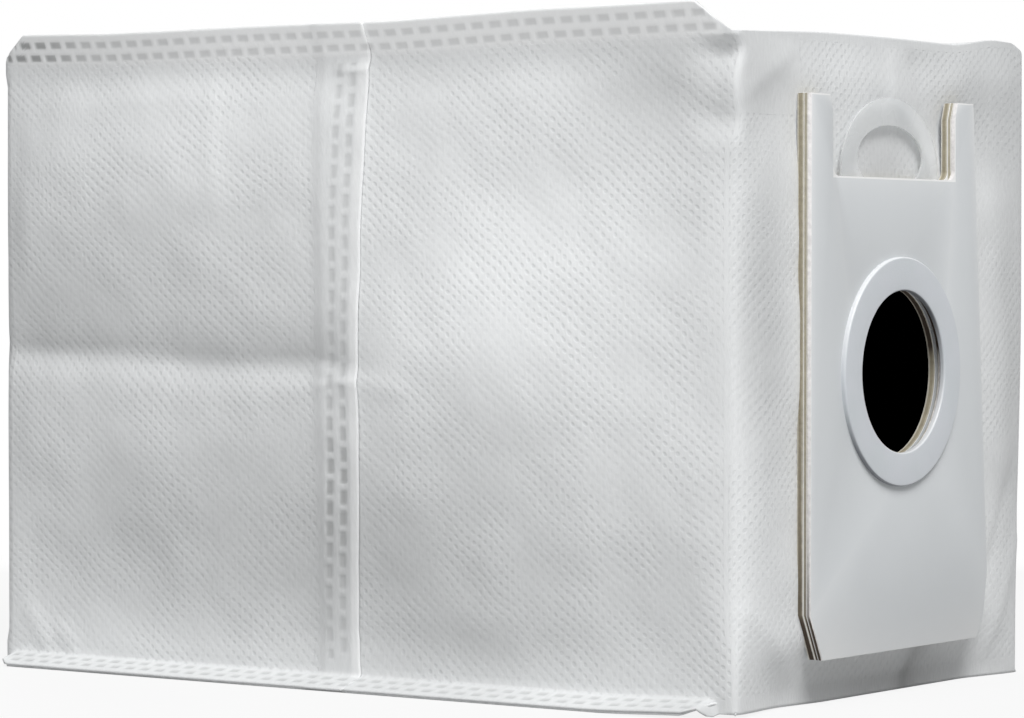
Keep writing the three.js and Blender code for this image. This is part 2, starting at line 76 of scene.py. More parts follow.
class Panel(Enum):
    """The two panels that close the bag."""

    TOP = 1.0
    BASE = -1.0


def soft_step(value: np.ndarray) -> np.ndarray:
    """Eases a share from 0 to 1.

    Args:
        value: The share, which may lie outside 0 to 1.

    Returns:
        The eased share.
    """
    share = np.clip(value, 0.0, 1.0)
    return share * share * (3.0 - 2.0 * share)


def rounded_ramp(value: np.ndarray, reach: np.ndarray) -> tuple[np.ndarray, np.ndarray]:
    """Gives a ramp that starts at zero with a rounded bend.

    Args:
        value: The distance past the bend.
        reach: How far the bend reaches to each side.

    Returns:
        The ramp's height and its slope.
    """
    bend = (value + reach) ** 2 / (4.0 * reach)
    height = np.where(value <= -reach, 0.0, np.where(value >= reach, value, bend))
    return height, np.clip((value + reach) / (2.0 * reach), 0.0, 1.0)


@dataclass(frozen=True)
class Swell:
    """A soft hollow or bulge in a side of the bag."""

    across: float
    height: float
    wide: float
    high: float
    out: float

    def lift(self, across: np.ndarray, height: np.ndarray) -> np.ndarray:
        """Gives the outward offset at each point.

        Args:
            across: Place across the side.
            height: Height above the foot.

        Returns:
            The offsets, outward above zero.
        """
        reach = ((across - self.across) / self.wide) ** 2 + ((height - self.height) / self.high) ** 2
        return self.out * np.exp(-reach)


@dataclass(frozen=True)
class Fold:
    """A pressed fold or wrinkle along a straight run, sharper on one flank than on the other."""

    start: tuple[float, float]
    end: tuple[float, float]
    out: float
    soft: float
    sharp: float
    fade: float = 0.15

    def lift(self, across: np.ndarray, height: np.ndarray) -> np.ndarray:
        """Gives the outward offset at each point.

        Args:
            across: Place across the side.
            height: Height above the foot.

        Returns:
            The offsets, outward above zero.
        """
        run = np.array(self.end) - np.array(self.start)
        length = float(np.hypot(*run))
        along_x, along_z = run / length
        from_start = (across - self.start[0], height - self.start[1])
        along = from_start[0] * along_x + from_start[1] * along_z
        aside = from_start[1] * along_x - from_start[0] * along_z
        flank = np.where(aside > 0.0, np.exp(-np.abs(aside) / self.soft), np.exp(-np.abs(aside) / self.sharp))
        rounded = np.minimum(flank, 1.0 - 0.35 * np.exp(-((aside / (0.5 * self.sharp)) ** 2)))
        reach = self.fade * length
        shown = soft_step((along + reach) / (2 * reach)) * soft_step((length + reach - along) / (2 * reach))
        return self.out * rounded * shown


@dataclass(frozen=True)
class Ripple:
    """Faint unevenness of limp cloth, a sum of waves whose directions are drawn once from a seed."""

    seed: int
    wavelength: float
    out: float
    waves: int = 14
    spread: tuple = (0.6, 1.7)

    def lift(self, across: np.ndarray, height: np.ndarray) -> np.ndarray:
        """Gives the outward offset at each point.

        Args:
            across: Place across the side.
            height: Height above the foot.

        Returns:
            The offsets, outward above zero.
        """
        draw = np.random.RandomState(self.seed)
        total = np.zeros_like(across)
        for _ in range(self.waves):
            angle, phase = draw.uniform(0, math.pi), draw.uniform(0, 2 * math.pi)
            stretch = draw.uniform(*self.spread)
            pace = 2 * math.pi / (self.wavelength * stretch)
            total += np.sin(pace * (across * math.cos(angle) + height * math.sin(angle)) + phase)
        return self.out * total / math.sqrt(self.waves)


@dataclass(frozen=True)
class Dashes:
    """A row of weld dashes pressed into cloth."""

    long: float = 2.8
    wide: float = 1.5
    pitch: float = 4.3
    shift: float = 0.0
    blur: float = 0.75

    def press(self, along: np.ndarray, aside: np.ndarray) -> np.ndarray:
        """Tells how far each point is pressed.

        Args:
            along: Place along the row.
            aside: Distance from the row's middle.

        Returns:
            The press, 1 at the bottom of a dash and 0 beside it.
        """
        place = np.mod(along / self.pitch + self.shift, 1.0) - 0.5
        past_end = np.abs(place) * self.pitch - self.long / 2
        past_side = np.abs(aside) - self.wide / 2
        return soft_step(0.5 - past_end / self.blur) * soft_step(0.5 - past_side / self.blur)


class NodeSketch:
    """Adds shader nodes to a material and joins them up."""

    def __init__(self, name: str) -> None:
        """Starts a material with an empty node tree.

        Args:
            name: The material's name.
        """
        self.material = bpy.data.materials.new(name)
        self.material.use_nodes = True
        self.tree = self.material.node_tree
        self.tree.nodes.clear()

    def node(self, kind: str, settings: dict | None = None, **inputs: object) -> bpy.types.Node:
        """Adds one node.

        Args:
            kind: The node's type.
            settings: Properties of the node.
            inputs: Sockets by name, underscores for spaces, each a value or another node's output.

        Returns:
            The node.
        """
        made = self.tree.nodes.new(kind)
        for key, value in (settings or {}).items():
            setattr(made, key, value)
        for key, value in inputs.items():
            self.plug(made.inputs[key.replace("_", " ")], value)
        return made

    def plug(self, socket: bpy.types.NodeSocket, value: object) -> None:
        """Sets a socket or links an output to it.

        Args:
            socket: The input socket.
            value: A constant or an output socket.
        """
        if isinstance(value, bpy.types.NodeSocket):
            self.tree.links.new(value, socket)
        else:
            socket.default_value = value

    def sum(self, kind: str, first: object, second: object = 0.0, third: object = 0.0,
            clamp: bool = False) -> bpy.types.NodeSocket:
        """Adds a Math node.

        Args:
            kind: The operation.
            first: First operand.
            second: Second operand.
            third: Third operand.
            clamp: Whether the result is kept between 0 and 1.

        Returns:
            The result's socket.
        """
        made = self.node("ShaderNodeMath", {"operation": kind, "use_clamp": clamp})
        for socket, value in zip(made.inputs, (first, second, third)):
            self.plug(socket, value)
        return made.outputs[0]

    def span(self, value: object, low: float, high: float, to_low: float = 0.0, to_high: float = 1.0,
             smooth: bool = True) -> bpy.types.NodeSocket:
        """Maps a value from one span to another.

        Args:
            value: What is mapped.
            low: The span's start.
            high: The span's end.
            to_low: What the start becomes.
            to_high: What the end becomes.
            smooth: Whether the change is eased.

        Returns:
            The result's socket.
        """
        kind = "SMOOTHSTEP" if smooth else "LINEAR"
        made = self.node("ShaderNodeMapRange", {"interpolation_type": kind}, Value=value, From_Min=low,
                         From_Max=high, To_Min=to_low, To_Max=to_high)
        return made.outputs[0]

    def noise(self, place: object, scale: float, detail: float = 2.0,
              rough: float = 0.5) -> bpy.types.NodeSocket:
        """Adds a noise texture.

        Args:
            place: Where it is read.
            scale: Its scale for each metre.
            detail: How many octaves.
            rough: How strong the fine ones are.

        Returns:
            The noise, about 0.5 on average.
        """
        made = self.node("ShaderNodeTexNoise", Vector=place, Scale=scale, Detail=detail, Roughness=rough)
        return made.outputs["Fac"]

    def mix(self, share: object, first: object, second: object) -> bpy.types.NodeSocket:
        """Mixes two colours.

        Args:
            share: How much of the second.
            first: First colour.
            second: Second colour.

        Returns:
            The mixed colour.
        """
        made = self.node("ShaderNodeMix", {"data_type": "RGBA"})
        self.plug(made.inputs["Factor"], share)
        self.plug(made.inputs[6], first)
        self.plug(made.inputs[7], second)
        return made.outputs[2]

    def finish(self, surface: bpy.types.NodeSocket) -> bpy.types.Material:
        """Joins the surface to the output.

        Args:
            surface: The shader's socket.

        Returns:
            The finished material.
        """
        output = self.node("ShaderNodeOutputMaterial")
        self.tree.links.new(surface, output.inputs["Surface"])
        return self.material


@dataclass(frozen=True)
class ClothFinish:
    """White point-bonded nonwoven cloth. Its bond points and weld dashes follow the flat sheet."""

    color: tuple = (0.80, 0.812, 0.815, 1.0)
    bond_color: tuple = (0.72, 0.735, 0.74, 1.0)
    weld_color: tuple = (0.34, 0.345, 0.345, 1.0)
    # painted_light_color: painted highlight on the lap's free edge, and painted light that brightens the upper
    # fins, which lean out into shade
    painted_light_color: tuple = (0.95, 0.955, 0.955, 1.0)
    pitch_across: float = 2.8
    pitch_up: float = 2.2
    bond_long: float = 0.44
    bond_wide: float = 0.30
    depth: float = 0.06
    groove: float = 0.007
    bond_share: float = 0.7
    weld_share: float = 0.9
    fibre_angle: float = 38.0
    fibre_depth: float = 0.09

    def bond(self, pen: NodeSketch, place: tuple, shift: float, slant: object) -> bpy.types.NodeSocket:
        """Draws one of the two interleaved lattices of bond points.

        Args:
            pen: The material being drawn.
            place: The place on the flat sheet in millimetres, across and up.
            shift: The lattice's shift, as a share of the pitch.
            slant: Which diagonal the points lie along, from -1 to 1.

        Returns:
            The squared distance from the nearest point, in bond sizes.
        """
        local = []
        for value, pitch in zip(place, (self.pitch_across, self.pitch_up)):
            cell = pen.sum("FRACT", pen.sum("MULTIPLY_ADD", value, 1.0 / pitch, shift))
            local.append(pen.sum("MULTIPLY", pen.sum("SUBTRACT", cell, 0.5), pitch))
        turned = pen.sum("MULTIPLY", local[1], slant)
        along = pen.sum("MULTIPLY", pen.sum("SUBTRACT", local[0], turned), math.sqrt(0.5) / self.bond_long)
        aside = pen.sum("MULTIPLY", pen.sum("ADD", local[0], turned), math.sqrt(0.5) / self.bond_wide)
        return pen.sum("ADD", pen.sum("MULTIPLY", along, along), pen.sum("MULTIPLY", aside, aside))

    def build(self, name: str) -> bpy.types.Material:
        """Makes the material.

        Args:
            name: The material's name.

        Returns:
            The material.
        """
        pen = NodeSketch(name)
        flat = pen.node("ShaderNodeUVMap", {"uv_map": "Flat"}).outputs[0]
        weld = pen.node("ShaderNodeAttribute", {"attribute_name": "weld"}).outputs["Fac"]
        slant = pen.node("ShaderNodeAttribute", {"attribute_name": "slant"}).outputs["Fac"]
        sway = pen.node("ShaderNodeTexNoise", {"noise_dimensions": "2D"}, Vector=flat, Scale=110.0, Detail=2.0)
        swayed = pen.node("ShaderNodeVectorMath", {"operation": "MULTIPLY_ADD"})
        pen.plug(swayed.inputs[0], sway.outputs["Color"])
        swayed.inputs[1].default_value = (0.0016, 0.0016, 0.0)
        pen.plug(swayed.inputs[2], flat)
        parts = pen.node("ShaderNodeSeparateXYZ", Vector=swayed.outputs[0])
        place = tuple(pen.sum("MULTIPLY", parts.outputs[i], 1.0 / MM) for i in range(2))
        near = pen.sum("MINIMUM", self.bond(pen, place, 0.0, slant), self.bond(pen, place, 0.5, slant))
        dot = pen.span(near, 2.6, 0.25)
        patch = pen.noise(flat, 55.0, 3.0)
        clear = pen.span(patch, 0.36, 0.60, 0.25, 1.0)
        free = pen.span(weld, 0.0, 0.6, 1.0, 0.0)
        straight = pen.span(pen.sum("ABSOLUTE", slant), 0.8, 1.0)
        plain = pen.sum("MULTIPLY", free, straight)
        dot = pen.sum("MULTIPLY", dot, pen.sum("MULTIPLY", clear, plain))
        rows = pen.sum("ADD", pen.sum("MULTIPLY", place[0], 2 * math.pi / self.pitch_across),
                       pen.sum("MULTIPLY", pen.sum("MULTIPLY", place[1], slant), 2 * math.pi / self.pitch_up))
        drawn = pen.span(pen.noise(flat, 90.0, 3.0), 0.35, 0.65, 0.3, 1.6)
        groove = pen.sum("MULTIPLY", pen.sum("COSINE", rows), pen.sum("MULTIPLY", drawn, plain))

        fibres = pen.node("ShaderNodeMapping", Vector=flat)
        fibres.inputs["Rotation"].default_value = (0.0, 0.0, math.radians(self.fibre_angle))
        fibres.inputs["Scale"].default_value = (1.0, 0.28, 1.0)
        fibre = pen.noise(fibres.outputs[0], 1500.0, 3.0, 0.6)
        cloud = pen.noise(flat, 26.0, 3.0, 0.55)

        tone = pen.mix(pen.sum("MULTIPLY", dot, self.bond_share), self.color, self.bond_color)
        # painted_shading is painted shade and light; fibre and cloud are the cloth's own uneven tone
        painted_shading = pen.node("ShaderNodeAttribute", {"attribute_name": "painted_shading"}).outputs["Fac"]
        shade = pen.sum("ADD", pen.span(fibre, 0.3, 0.7, 0.96, 1.02, False),
                        pen.sum("ADD", pen.span(cloud, 0.3, 0.7, -0.035, 0.03, False), painted_shading))
        toned = pen.node("ShaderNodeVectorMath", {"operation": "SCALE"})
        pen.plug(toned.inputs[0], tone)
        pen.plug(toned.inputs["Scale"], shade)
        # The edge attribute paints light into the colour: a painted highlight along the lap's free edge and
        # painted light on the upper fins
        edge = pen.node("ShaderNodeAttribute", {"attribute_name": "edge"}).outputs["Fac"]
        highlighted = pen.mix(edge, toned.outputs[0], self.painted_light_color)
        colored = pen.mix(pen.sum("MULTIPLY", weld, self.weld_share), highlighted, self.weld_color)

        pressed = pen.sum("ADD", pen.sum("MULTIPLY", dot, -self.depth),
                          pen.sum("MULTIPLY", groove, -self.groove))
        raised = pen.sum("MULTIPLY", pen.sum("MULTIPLY", fibre, free), self.fibre_depth)
        height = pen.sum("ADD", pressed, raised)
        bump = pen.node("ShaderNodeBump", Strength=1.0, Distance=MM, Height=height)
        surface = pen.node("ShaderNodeBsdfPrincipled", Base_Color=colored, Normal=bump.outputs[0],
                           Roughness=pen.span(pen.sum("MAXIMUM", weld, dot), 0.0, 1.0, 0.9, 0.62))
        surface.inputs["Sheen Weight"].default_value = 0.15
        surface.inputs["Specular IOR Level"].default_value = 0.35
        return pen.finish(surface.outputs[0])


@dataclass(frozen=True)
class InsideShadeFinish:
    """The inside of the bag, coloured near black as painted shade, so that it shows black through the inlet."""

    # Near black, painted as the shade inside the bag
    color: tuple = (0.004, 0.004, 0.005, 1.0)

    def build(self, name: str) -> bpy.types.Material:
        """Makes the material.

        Args:
            name: The material's name.

        Returns:
            The material.
        """
        pen = NodeSketch(name)
        place = pen.node("ShaderNodeTexCoord").outputs["Object"]
        fibre = pen.noise(place, 900.0, 3.0)
        bump = pen.node("ShaderNodeBump", Strength=0.5, Distance=0.1 * MM, Height=fibre)
        surface = pen.node("ShaderNodeBsdfPrincipled", Base_Color=self.color, Roughness=1.0,
                           Normal=bump.outputs[0])
        surface.inputs["Specular IOR Level"].default_value = 0.0
        return pen.finish(surface.outputs[0])


@dataclass(frozen=True)
class BoardFinish:
    """Lined greyboard: a pale liner on its faces and the plies' own colours on its cut edges. Cut edges that face
    downwards take darker copies of the plies as painted shade, and the bevels and a thin band along the front
    edges take a painted highlight.
    """

    back: float
    thick: float
    plies: tuple
    # shaded_plies: darker copies of the ply colours, painted as shade on cut edges that face downwards
    shaded_plies: tuple
    liner: tuple = (0.685, 0.707, 0.72, 1.0)
    # rim: the colour of the painted highlight on the bevels and in a thin band along the front edges of the notch
    # and the top
    rim: tuple = (0.95, 0.945, 0.935, 1.0)
    notch: tuple = (103.4, -26.1, 21.7)
    top: float = 119.2
    highlight_band: float = 0.32
    highlight_band_blur: float = 0.08
    top_blur: float = 0.12
    highlight_band_share: float = 0.85
    ply_blend: float = 0.03

    def ramp(self, pen: NodeSketch, depth: object, plies: tuple) -> bpy.types.NodeSocket:
        """Colours a cut edge by its depth.

        Args:
            pen: The material being drawn.
            depth: The depth from the back, from 0 to 1.
            plies: Pairs of a start and a colour.

        Returns:
            The colour.
        """
        made = pen.node("ShaderNodeValToRGB", Fac=depth)
        stops = made.color_ramp
        stops.interpolation = "LINEAR"
        while len(stops.elements) < 2 * len(plies):
            stops.elements.new(0.5)
        for index, (start, color) in enumerate(plies):
            end = plies[index + 1][0] if index + 1 < len(plies) else 1.0
            for element, place in ((stops.elements[2 * index], start + self.ply_blend),
                                   (stops.elements[2 * index + 1], end - self.ply_blend)):
                element.position = place
                element.color = color
        return made.outputs[0]

    def build(self, name: str) -> bpy.types.Material:
        """Makes the material.

        Args:
            name: The material's name.

        Returns:
            The material.
        """
        pen = NodeSketch(name)
        place = pen.node("ShaderNodeTexCoord").outputs["Object"]
        parts = pen.node("ShaderNodeSeparateXYZ", Vector=place)
        normal = pen.node("ShaderNodeSeparateXYZ", Vector=pen.node("ShaderNodeNewGeometry").outputs["Normal"])
        rough = pen.noise(place, 900.0, 4.0, 0.65)
        drift = pen.noise(place, 120.0, 2.0)
        wobble = pen.sum("MULTIPLY", pen.sum("SUBTRACT", pen.sum("ADD", rough, drift), 1.0), 0.14)
        depth = pen.sum("ADD", pen.span(parts.outputs[0], self.back * MM, (self.back + self.thick) * MM,
                                        0.0, 1.0, False), wobble)
        # Cut edges that face downwards take the darker plies as painted shade
        edge = pen.mix(pen.span(normal.outputs[2], -0.12, -0.3), self.ramp(pen, depth, self.plies),
                       self.ramp(pen, depth, self.shaded_plies))
        flecks = pen.span(rough, 0.35, 0.7, 0.86, 1.08, False)
        fleck = pen.node("ShaderNodeVectorMath", {"operation": "SCALE"})
        pen.plug(fleck.inputs[0], edge)
        pen.plug(fleck.inputs["Scale"], flecks)
        flatness = pen.sum("ABSOLUTE", normal.outputs[0])
        face = pen.span(flatness, 0.75, 0.9)
        mottle = pen.span(pen.noise(place, 60.0, 3.0), 0.3, 0.7, 0.985, 1.012, False)
        lined = pen.node("ShaderNodeVectorMath", {"operation": "SCALE"})
        lined.inputs[0].default_value = self.liner[:3]
        pen.plug(lined.inputs["Scale"], mottle)
        # Painted highlight on the bevels, where a face turns into an edge
        rim = pen.sum("MULTIPLY", pen.span(flatness, 0.1, 0.3), pen.span(flatness, 0.995, 0.93))
        up, across = parts.outputs[2], parts.outputs[1]
        foot, near, far = self.notch
        # A thin painted highlight band along the front face's edges at the notch and the top, where the liner's
        # edge catches the light
        floor, far_lip, top_lip = foot - self.highlight_band, far + self.highlight_band, self.top - self.highlight_band
        notched = pen.span(up, (floor - self.highlight_band_blur) * MM, floor * MM, smooth=False)
        for start, end in ((near - self.highlight_band_blur, near), (far_lip + self.highlight_band_blur, far_lip)):
            notched = pen.sum("MULTIPLY", notched, pen.span(across, start * MM, end * MM, smooth=False))
        topped = pen.span(up, top_lip * MM, (top_lip + self.top_blur) * MM, smooth=False)
        highlight_band = pen.sum("MAXIMUM", notched, topped)
        rim = pen.sum("MAXIMUM", rim, pen.sum("MULTIPLY", highlight_band, pen.sum("MULTIPLY", face, self.highlight_band_share)))
        color = pen.mix(rim, pen.mix(face, fleck.outputs[0], lined.outputs[0]), self.rim)
        grain = pen.sum("MULTIPLY", rough, pen.span(face, 0.0, 1.0, 0.12, 0.012, False))
        bump = pen.node("ShaderNodeBump", Strength=1.0, Distance=MM, Height=grain)
        surface = pen.node("ShaderNodeBsdfPrincipled", Base_Color=color, Normal=bump.outputs[0],
                           Roughness=pen.span(face, 0.0, 1.0, 0.95, 0.55, False))
        surface.inputs["Specular IOR Level"].default_value = 0.3
        return pen.finish(surface.outputs[0])


@dataclass(frozen=True)
class FilmFinish:
    """Milky translucent sheet plastic, slightly hazed."""

    color: tuple = (0.92, 0.935, 0.935, 1.0)
    haze_color: tuple = (0.82, 0.84, 0.85, 1.0)
    clear: float = 0.55

    def build(self, name: str) -> bpy.types.Material:
        """Makes the material.

        Args:
            name: The material's name.

        Returns:
            The material.
        """
        pen = NodeSketch(name)
        place = pen.node("ShaderNodeTexCoord").outputs["Object"]
        haze = pen.noise(place, 90.0, 3.0)
        tone = pen.mix(pen.span(haze, 0.3, 0.7), self.color, self.haze_color)
        bump = pen.node("ShaderNodeBump", Strength=0.4, Distance=0.05 * MM, Height=pen.noise(place, 300.0))
        surface = pen.node("ShaderNodeBsdfPrincipled", Base_Color=tone, Normal=bump.outputs[0],
                           Roughness=pen.span(haze, 0.3, 0.7, 0.22, 0.34, False))
        surface.inputs["Alpha"].default_value = 1.0 - self.clear
        surface.inputs["Coat Weight"].default_value = 0.3
        return pen.finish(surface.outputs[0])


@dataclass(frozen=True)
class SealFinish:
    """Soft off-white foam rubber with a faint sheen, a painted highlight on its upper rounded edges and a painted
    contact shadow on its lower ones.
    """

    color: tuple = (0.64, 0.665, 0.70, 1.0)
    mottle_color: tuple = (0.615, 0.65, 0.675, 1.0)
    # Colours of the painted highlight on the upper rounded edges and the painted contact shadow on the lower ones
    painted_highlight_color: tuple = (0.80, 0.815, 0.83, 1.0)
    painted_shadow_color: tuple = (0.22, 0.23, 0.25, 1.0)

    def build(self, name: str) -> bpy.types.Material:
        """Makes the material.

        Args:
            name: The material's name.

        Returns:
            The material.
        """
        pen = NodeSketch(name)
        place = pen.node("ShaderNodeTexCoord").outputs["Object"]
        mottle = pen.span(pen.noise(place, 110.0, 3.0), 0.3, 0.7)
        tone = pen.mix(mottle, self.color, self.mottle_color)
        normal = pen.node("ShaderNodeSeparateXYZ", Vector=pen.node("ShaderNodeNewGeometry").outputs["Normal"])
        # Painted highlight on the upper rounded edges and painted contact shadow on the lower ones
        rounded = pen.span(pen.sum("ABSOLUTE", normal.outputs[0]), 0.98, 0.7)
        lit = pen.sum("MULTIPLY", rounded, pen.span(normal.outputs[2], -0.2, 0.5))
        low = pen.sum("MULTIPLY", rounded, pen.span(normal.outputs[2], -0.25, -0.75))
        tone = pen.mix(low, pen.mix(lit, tone, self.painted_highlight_color), self.painted_shadow_color)
        pores = pen.noise(place, 2600.0, 2.0)
        bump = pen.node("ShaderNodeBump", Strength=0.5, Distance=0.05 * MM, Height=pores)
        surface = pen.node("ShaderNodeBsdfPrincipled", Base_Color=tone, Normal=bump.outputs[0],
                           Roughness=pen.span(pores, 0.3, 0.7, 0.4, 0.52, False))
        surface.inputs["Coat Weight"].default_value = 0.15
        surface.inputs["Subsurface Weight"].default_value = 0.1
        surface.inputs["Subsurface Radius"].default_value = (MM, MM, MM)
        return pen.finish(surface.outputs[0])


def object_from(mesh: bmesh.types.BMesh, name: str, materials: list, smooth: bool = True) -> bpy.types.Object:
    """Turns a bmesh into an object at the origin.

    Args:
        mesh: The mesh, which is freed.
        name: The piece's name.
        materials: Its materials.
        smooth: Whether its faces are shaded smooth.

    Returns:
        The object.
    """
    data = bpy.data.meshes.new(name)
    mesh.to_mesh(data)
    mesh.free()
    for material in materials:
        data.materials.append(material)
    if smooth:
        data.shade_smooth()
    piece = bpy.data.objects.new(name, data)
    bpy.context.scene.collection.objects.link(piece)
    return piece


def thicken(piece: bpy.types.Object, thick: float, inner_material: int = 0) -> None:
    """Gives a cloth sheet its thickness, inwards.

    Args:
        piece: The sheet.
        thick: The thickness.
        inner_material: How many slots further the inner face's material is.
    """
    wall = piece.modifiers.new("cloth_thickness", "SOLIDIFY")
    wall.thickness = thick * MM
    wall.offset = -1.0
    wall.use_even_offset = False
    wall.material_offset = inner_material


@dataclass(frozen=True)
class BagShape:
    """Sizes that the cloth pieces share. The box is measured from its own middle."""

    length: float = 188.0
    depth: float = 111.0
    height: float = 130.0
    centre: float = -2.25
    cloth: float = 0.4
    ply_gap: float = 0.06
    fin: float = 7.0
    front_lean: float = 24.0
    back_lean: float = 61.0
    foot_drop: float = 17.5
    foot: float = 2.96
    rim: float = 0.7
    rim_arch: float = 0.9
    top_chamfer_left: tuple = (-94.2, -85.5)
    top_chamfer_right: tuple = (92.3, 85.8)
    foot_chamfer_left: tuple = (-92.8, -87.6)
    foot_chamfer_right: tuple = (90.0, 85.5)
    top_dashes: tuple = (1.6, 4.5)
    foot_dashes: tuple = (2.1, 4.7)
    sag: tuple = ((-94.0, -0.7), (-63.0, -1.5), (14.0, -1.5), (50.0, -0.6), (94.0, -0.4))
    toe_lift: tuple = ((-58.0, 0.8), (-30.0, 0.2), (-20.0, 0.0))
    hidden_fin_cut: float = 7.0
    far_corner_out: float = 2.2
    far_rise: float = 2.1
    undercut: float = 3.0
    pinch: tuple = (
        (109.0, 0.0), (114.2, 1.5), (118.0, 0.4), (121.0, 0.0),
        (124.5, 1.0), (127.2, 2.4), (128.6, 1.4), (130.0, 0.0),
    )

    def fin_share(self, x: np.ndarray, top: bool, back: np.ndarray) -> np.ndarray:
        """Tells how much of the fin's width is left at a place along the bag.

        Args:
            x: Place along the bag.
            top: Whether it is an upper fin.
            back: 1 on the back and 0 on the front.

        Returns:
            The share, 0 at the ends and 1 between the chamfers.
        """
        left = self.top_chamfer_left if top else self.foot_chamfer_left
        right = self.top_chamfer_right if top else self.foot_chamfer_right
        rise = (x - left[0]) / (left[1] - left[0])
        cut = 0.0 if top else self.hidden_fin_cut
        fall = (x + cut * back - right[0]) / (right[1] - right[0])
        return np.clip(np.minimum(rise, fall), 0.0, 1.0)

    def lean_at(self, x: np.ndarray, back: np.ndarray) -> np.ndarray:
        """Gives the lean of the upper fins, which wave a little.

        Args:
            x: Place along the bag.
            back: 1 on the back and 0 on the front.

        Returns:
            The lean in radians.
        """
        wave = 2.6 * np.sin(x / 21.0 + 1.9 * back) + 1.6 * np.sin(x / 9.3 + 0.7 + back)
        return np.radians(self.front_lean + (self.back_lean - self.front_lean) * back + wave)

    def settle(self, x: np.ndarray, y: np.ndarray, z: np.ndarray) -> tuple[np.ndarray, np.ndarray, np.ndarray]:
        """Gives the bag's unevenness as a whole: a sagging front, a lifted toe that is tucked in under the
        card, a pinched near corner and a far corner that is pulled out.

        Args:
            x: Place along the bag.
            y: Place across the bag.
            z: Height.

        Returns:
            The offsets along the bag, across it and upwards.
        """
        front = soft_step(-(y + 20.0) / 32.0) * soft_step((z - 92.0) / 36.0)
        sag = front * np.interp(x, *zip(*self.sag))
        toe = soft_step((x - 62.0) / 30.0) * soft_step((34.0 - z) / 34.0)
        lift = toe * np.interp(y, *zip(*self.toe_lift))
        far = soft_step((x - 20.0) / 66.0) * soft_step(y / 50.0) * soft_step((z - 10.0) / 70.0)
        near = soft_step((x - 82.0) / 10.0) * soft_step(-(y + 46.0) / 9.0)
        pinched = near * np.interp(z, *zip(*self.pinch))
        tuck = soft_step((x - 40.0) / 50.0) * soft_step((15.0 - z) / 14.0)
        tuck = tuck * soft_step((56.0 - np.abs(y)) / 22.0)
        hoist = soft_step((y - 24.0) / 20.0) * soft_step((57.0 - y) / 8.0) * soft_step((x - 66.0) / 24.0)
        rise = self.far_rise * hoist * soft_step((z - 96.0) / 30.0)
        return -self.undercut * tuck, far * self.far_corner_out + pinched, sag + lift + rise

    def arch(self, y: np.ndarray) -> np.ndarray:
        """Gives the height of the rim along the short ends.

        Args:
            y: Place across the bag.

        Returns:
            The rim's height.
        """
        return self.rim + self.rim_arch * np.maximum(1.0 - (2.0 * y / self.depth) ** 2, 0.0)


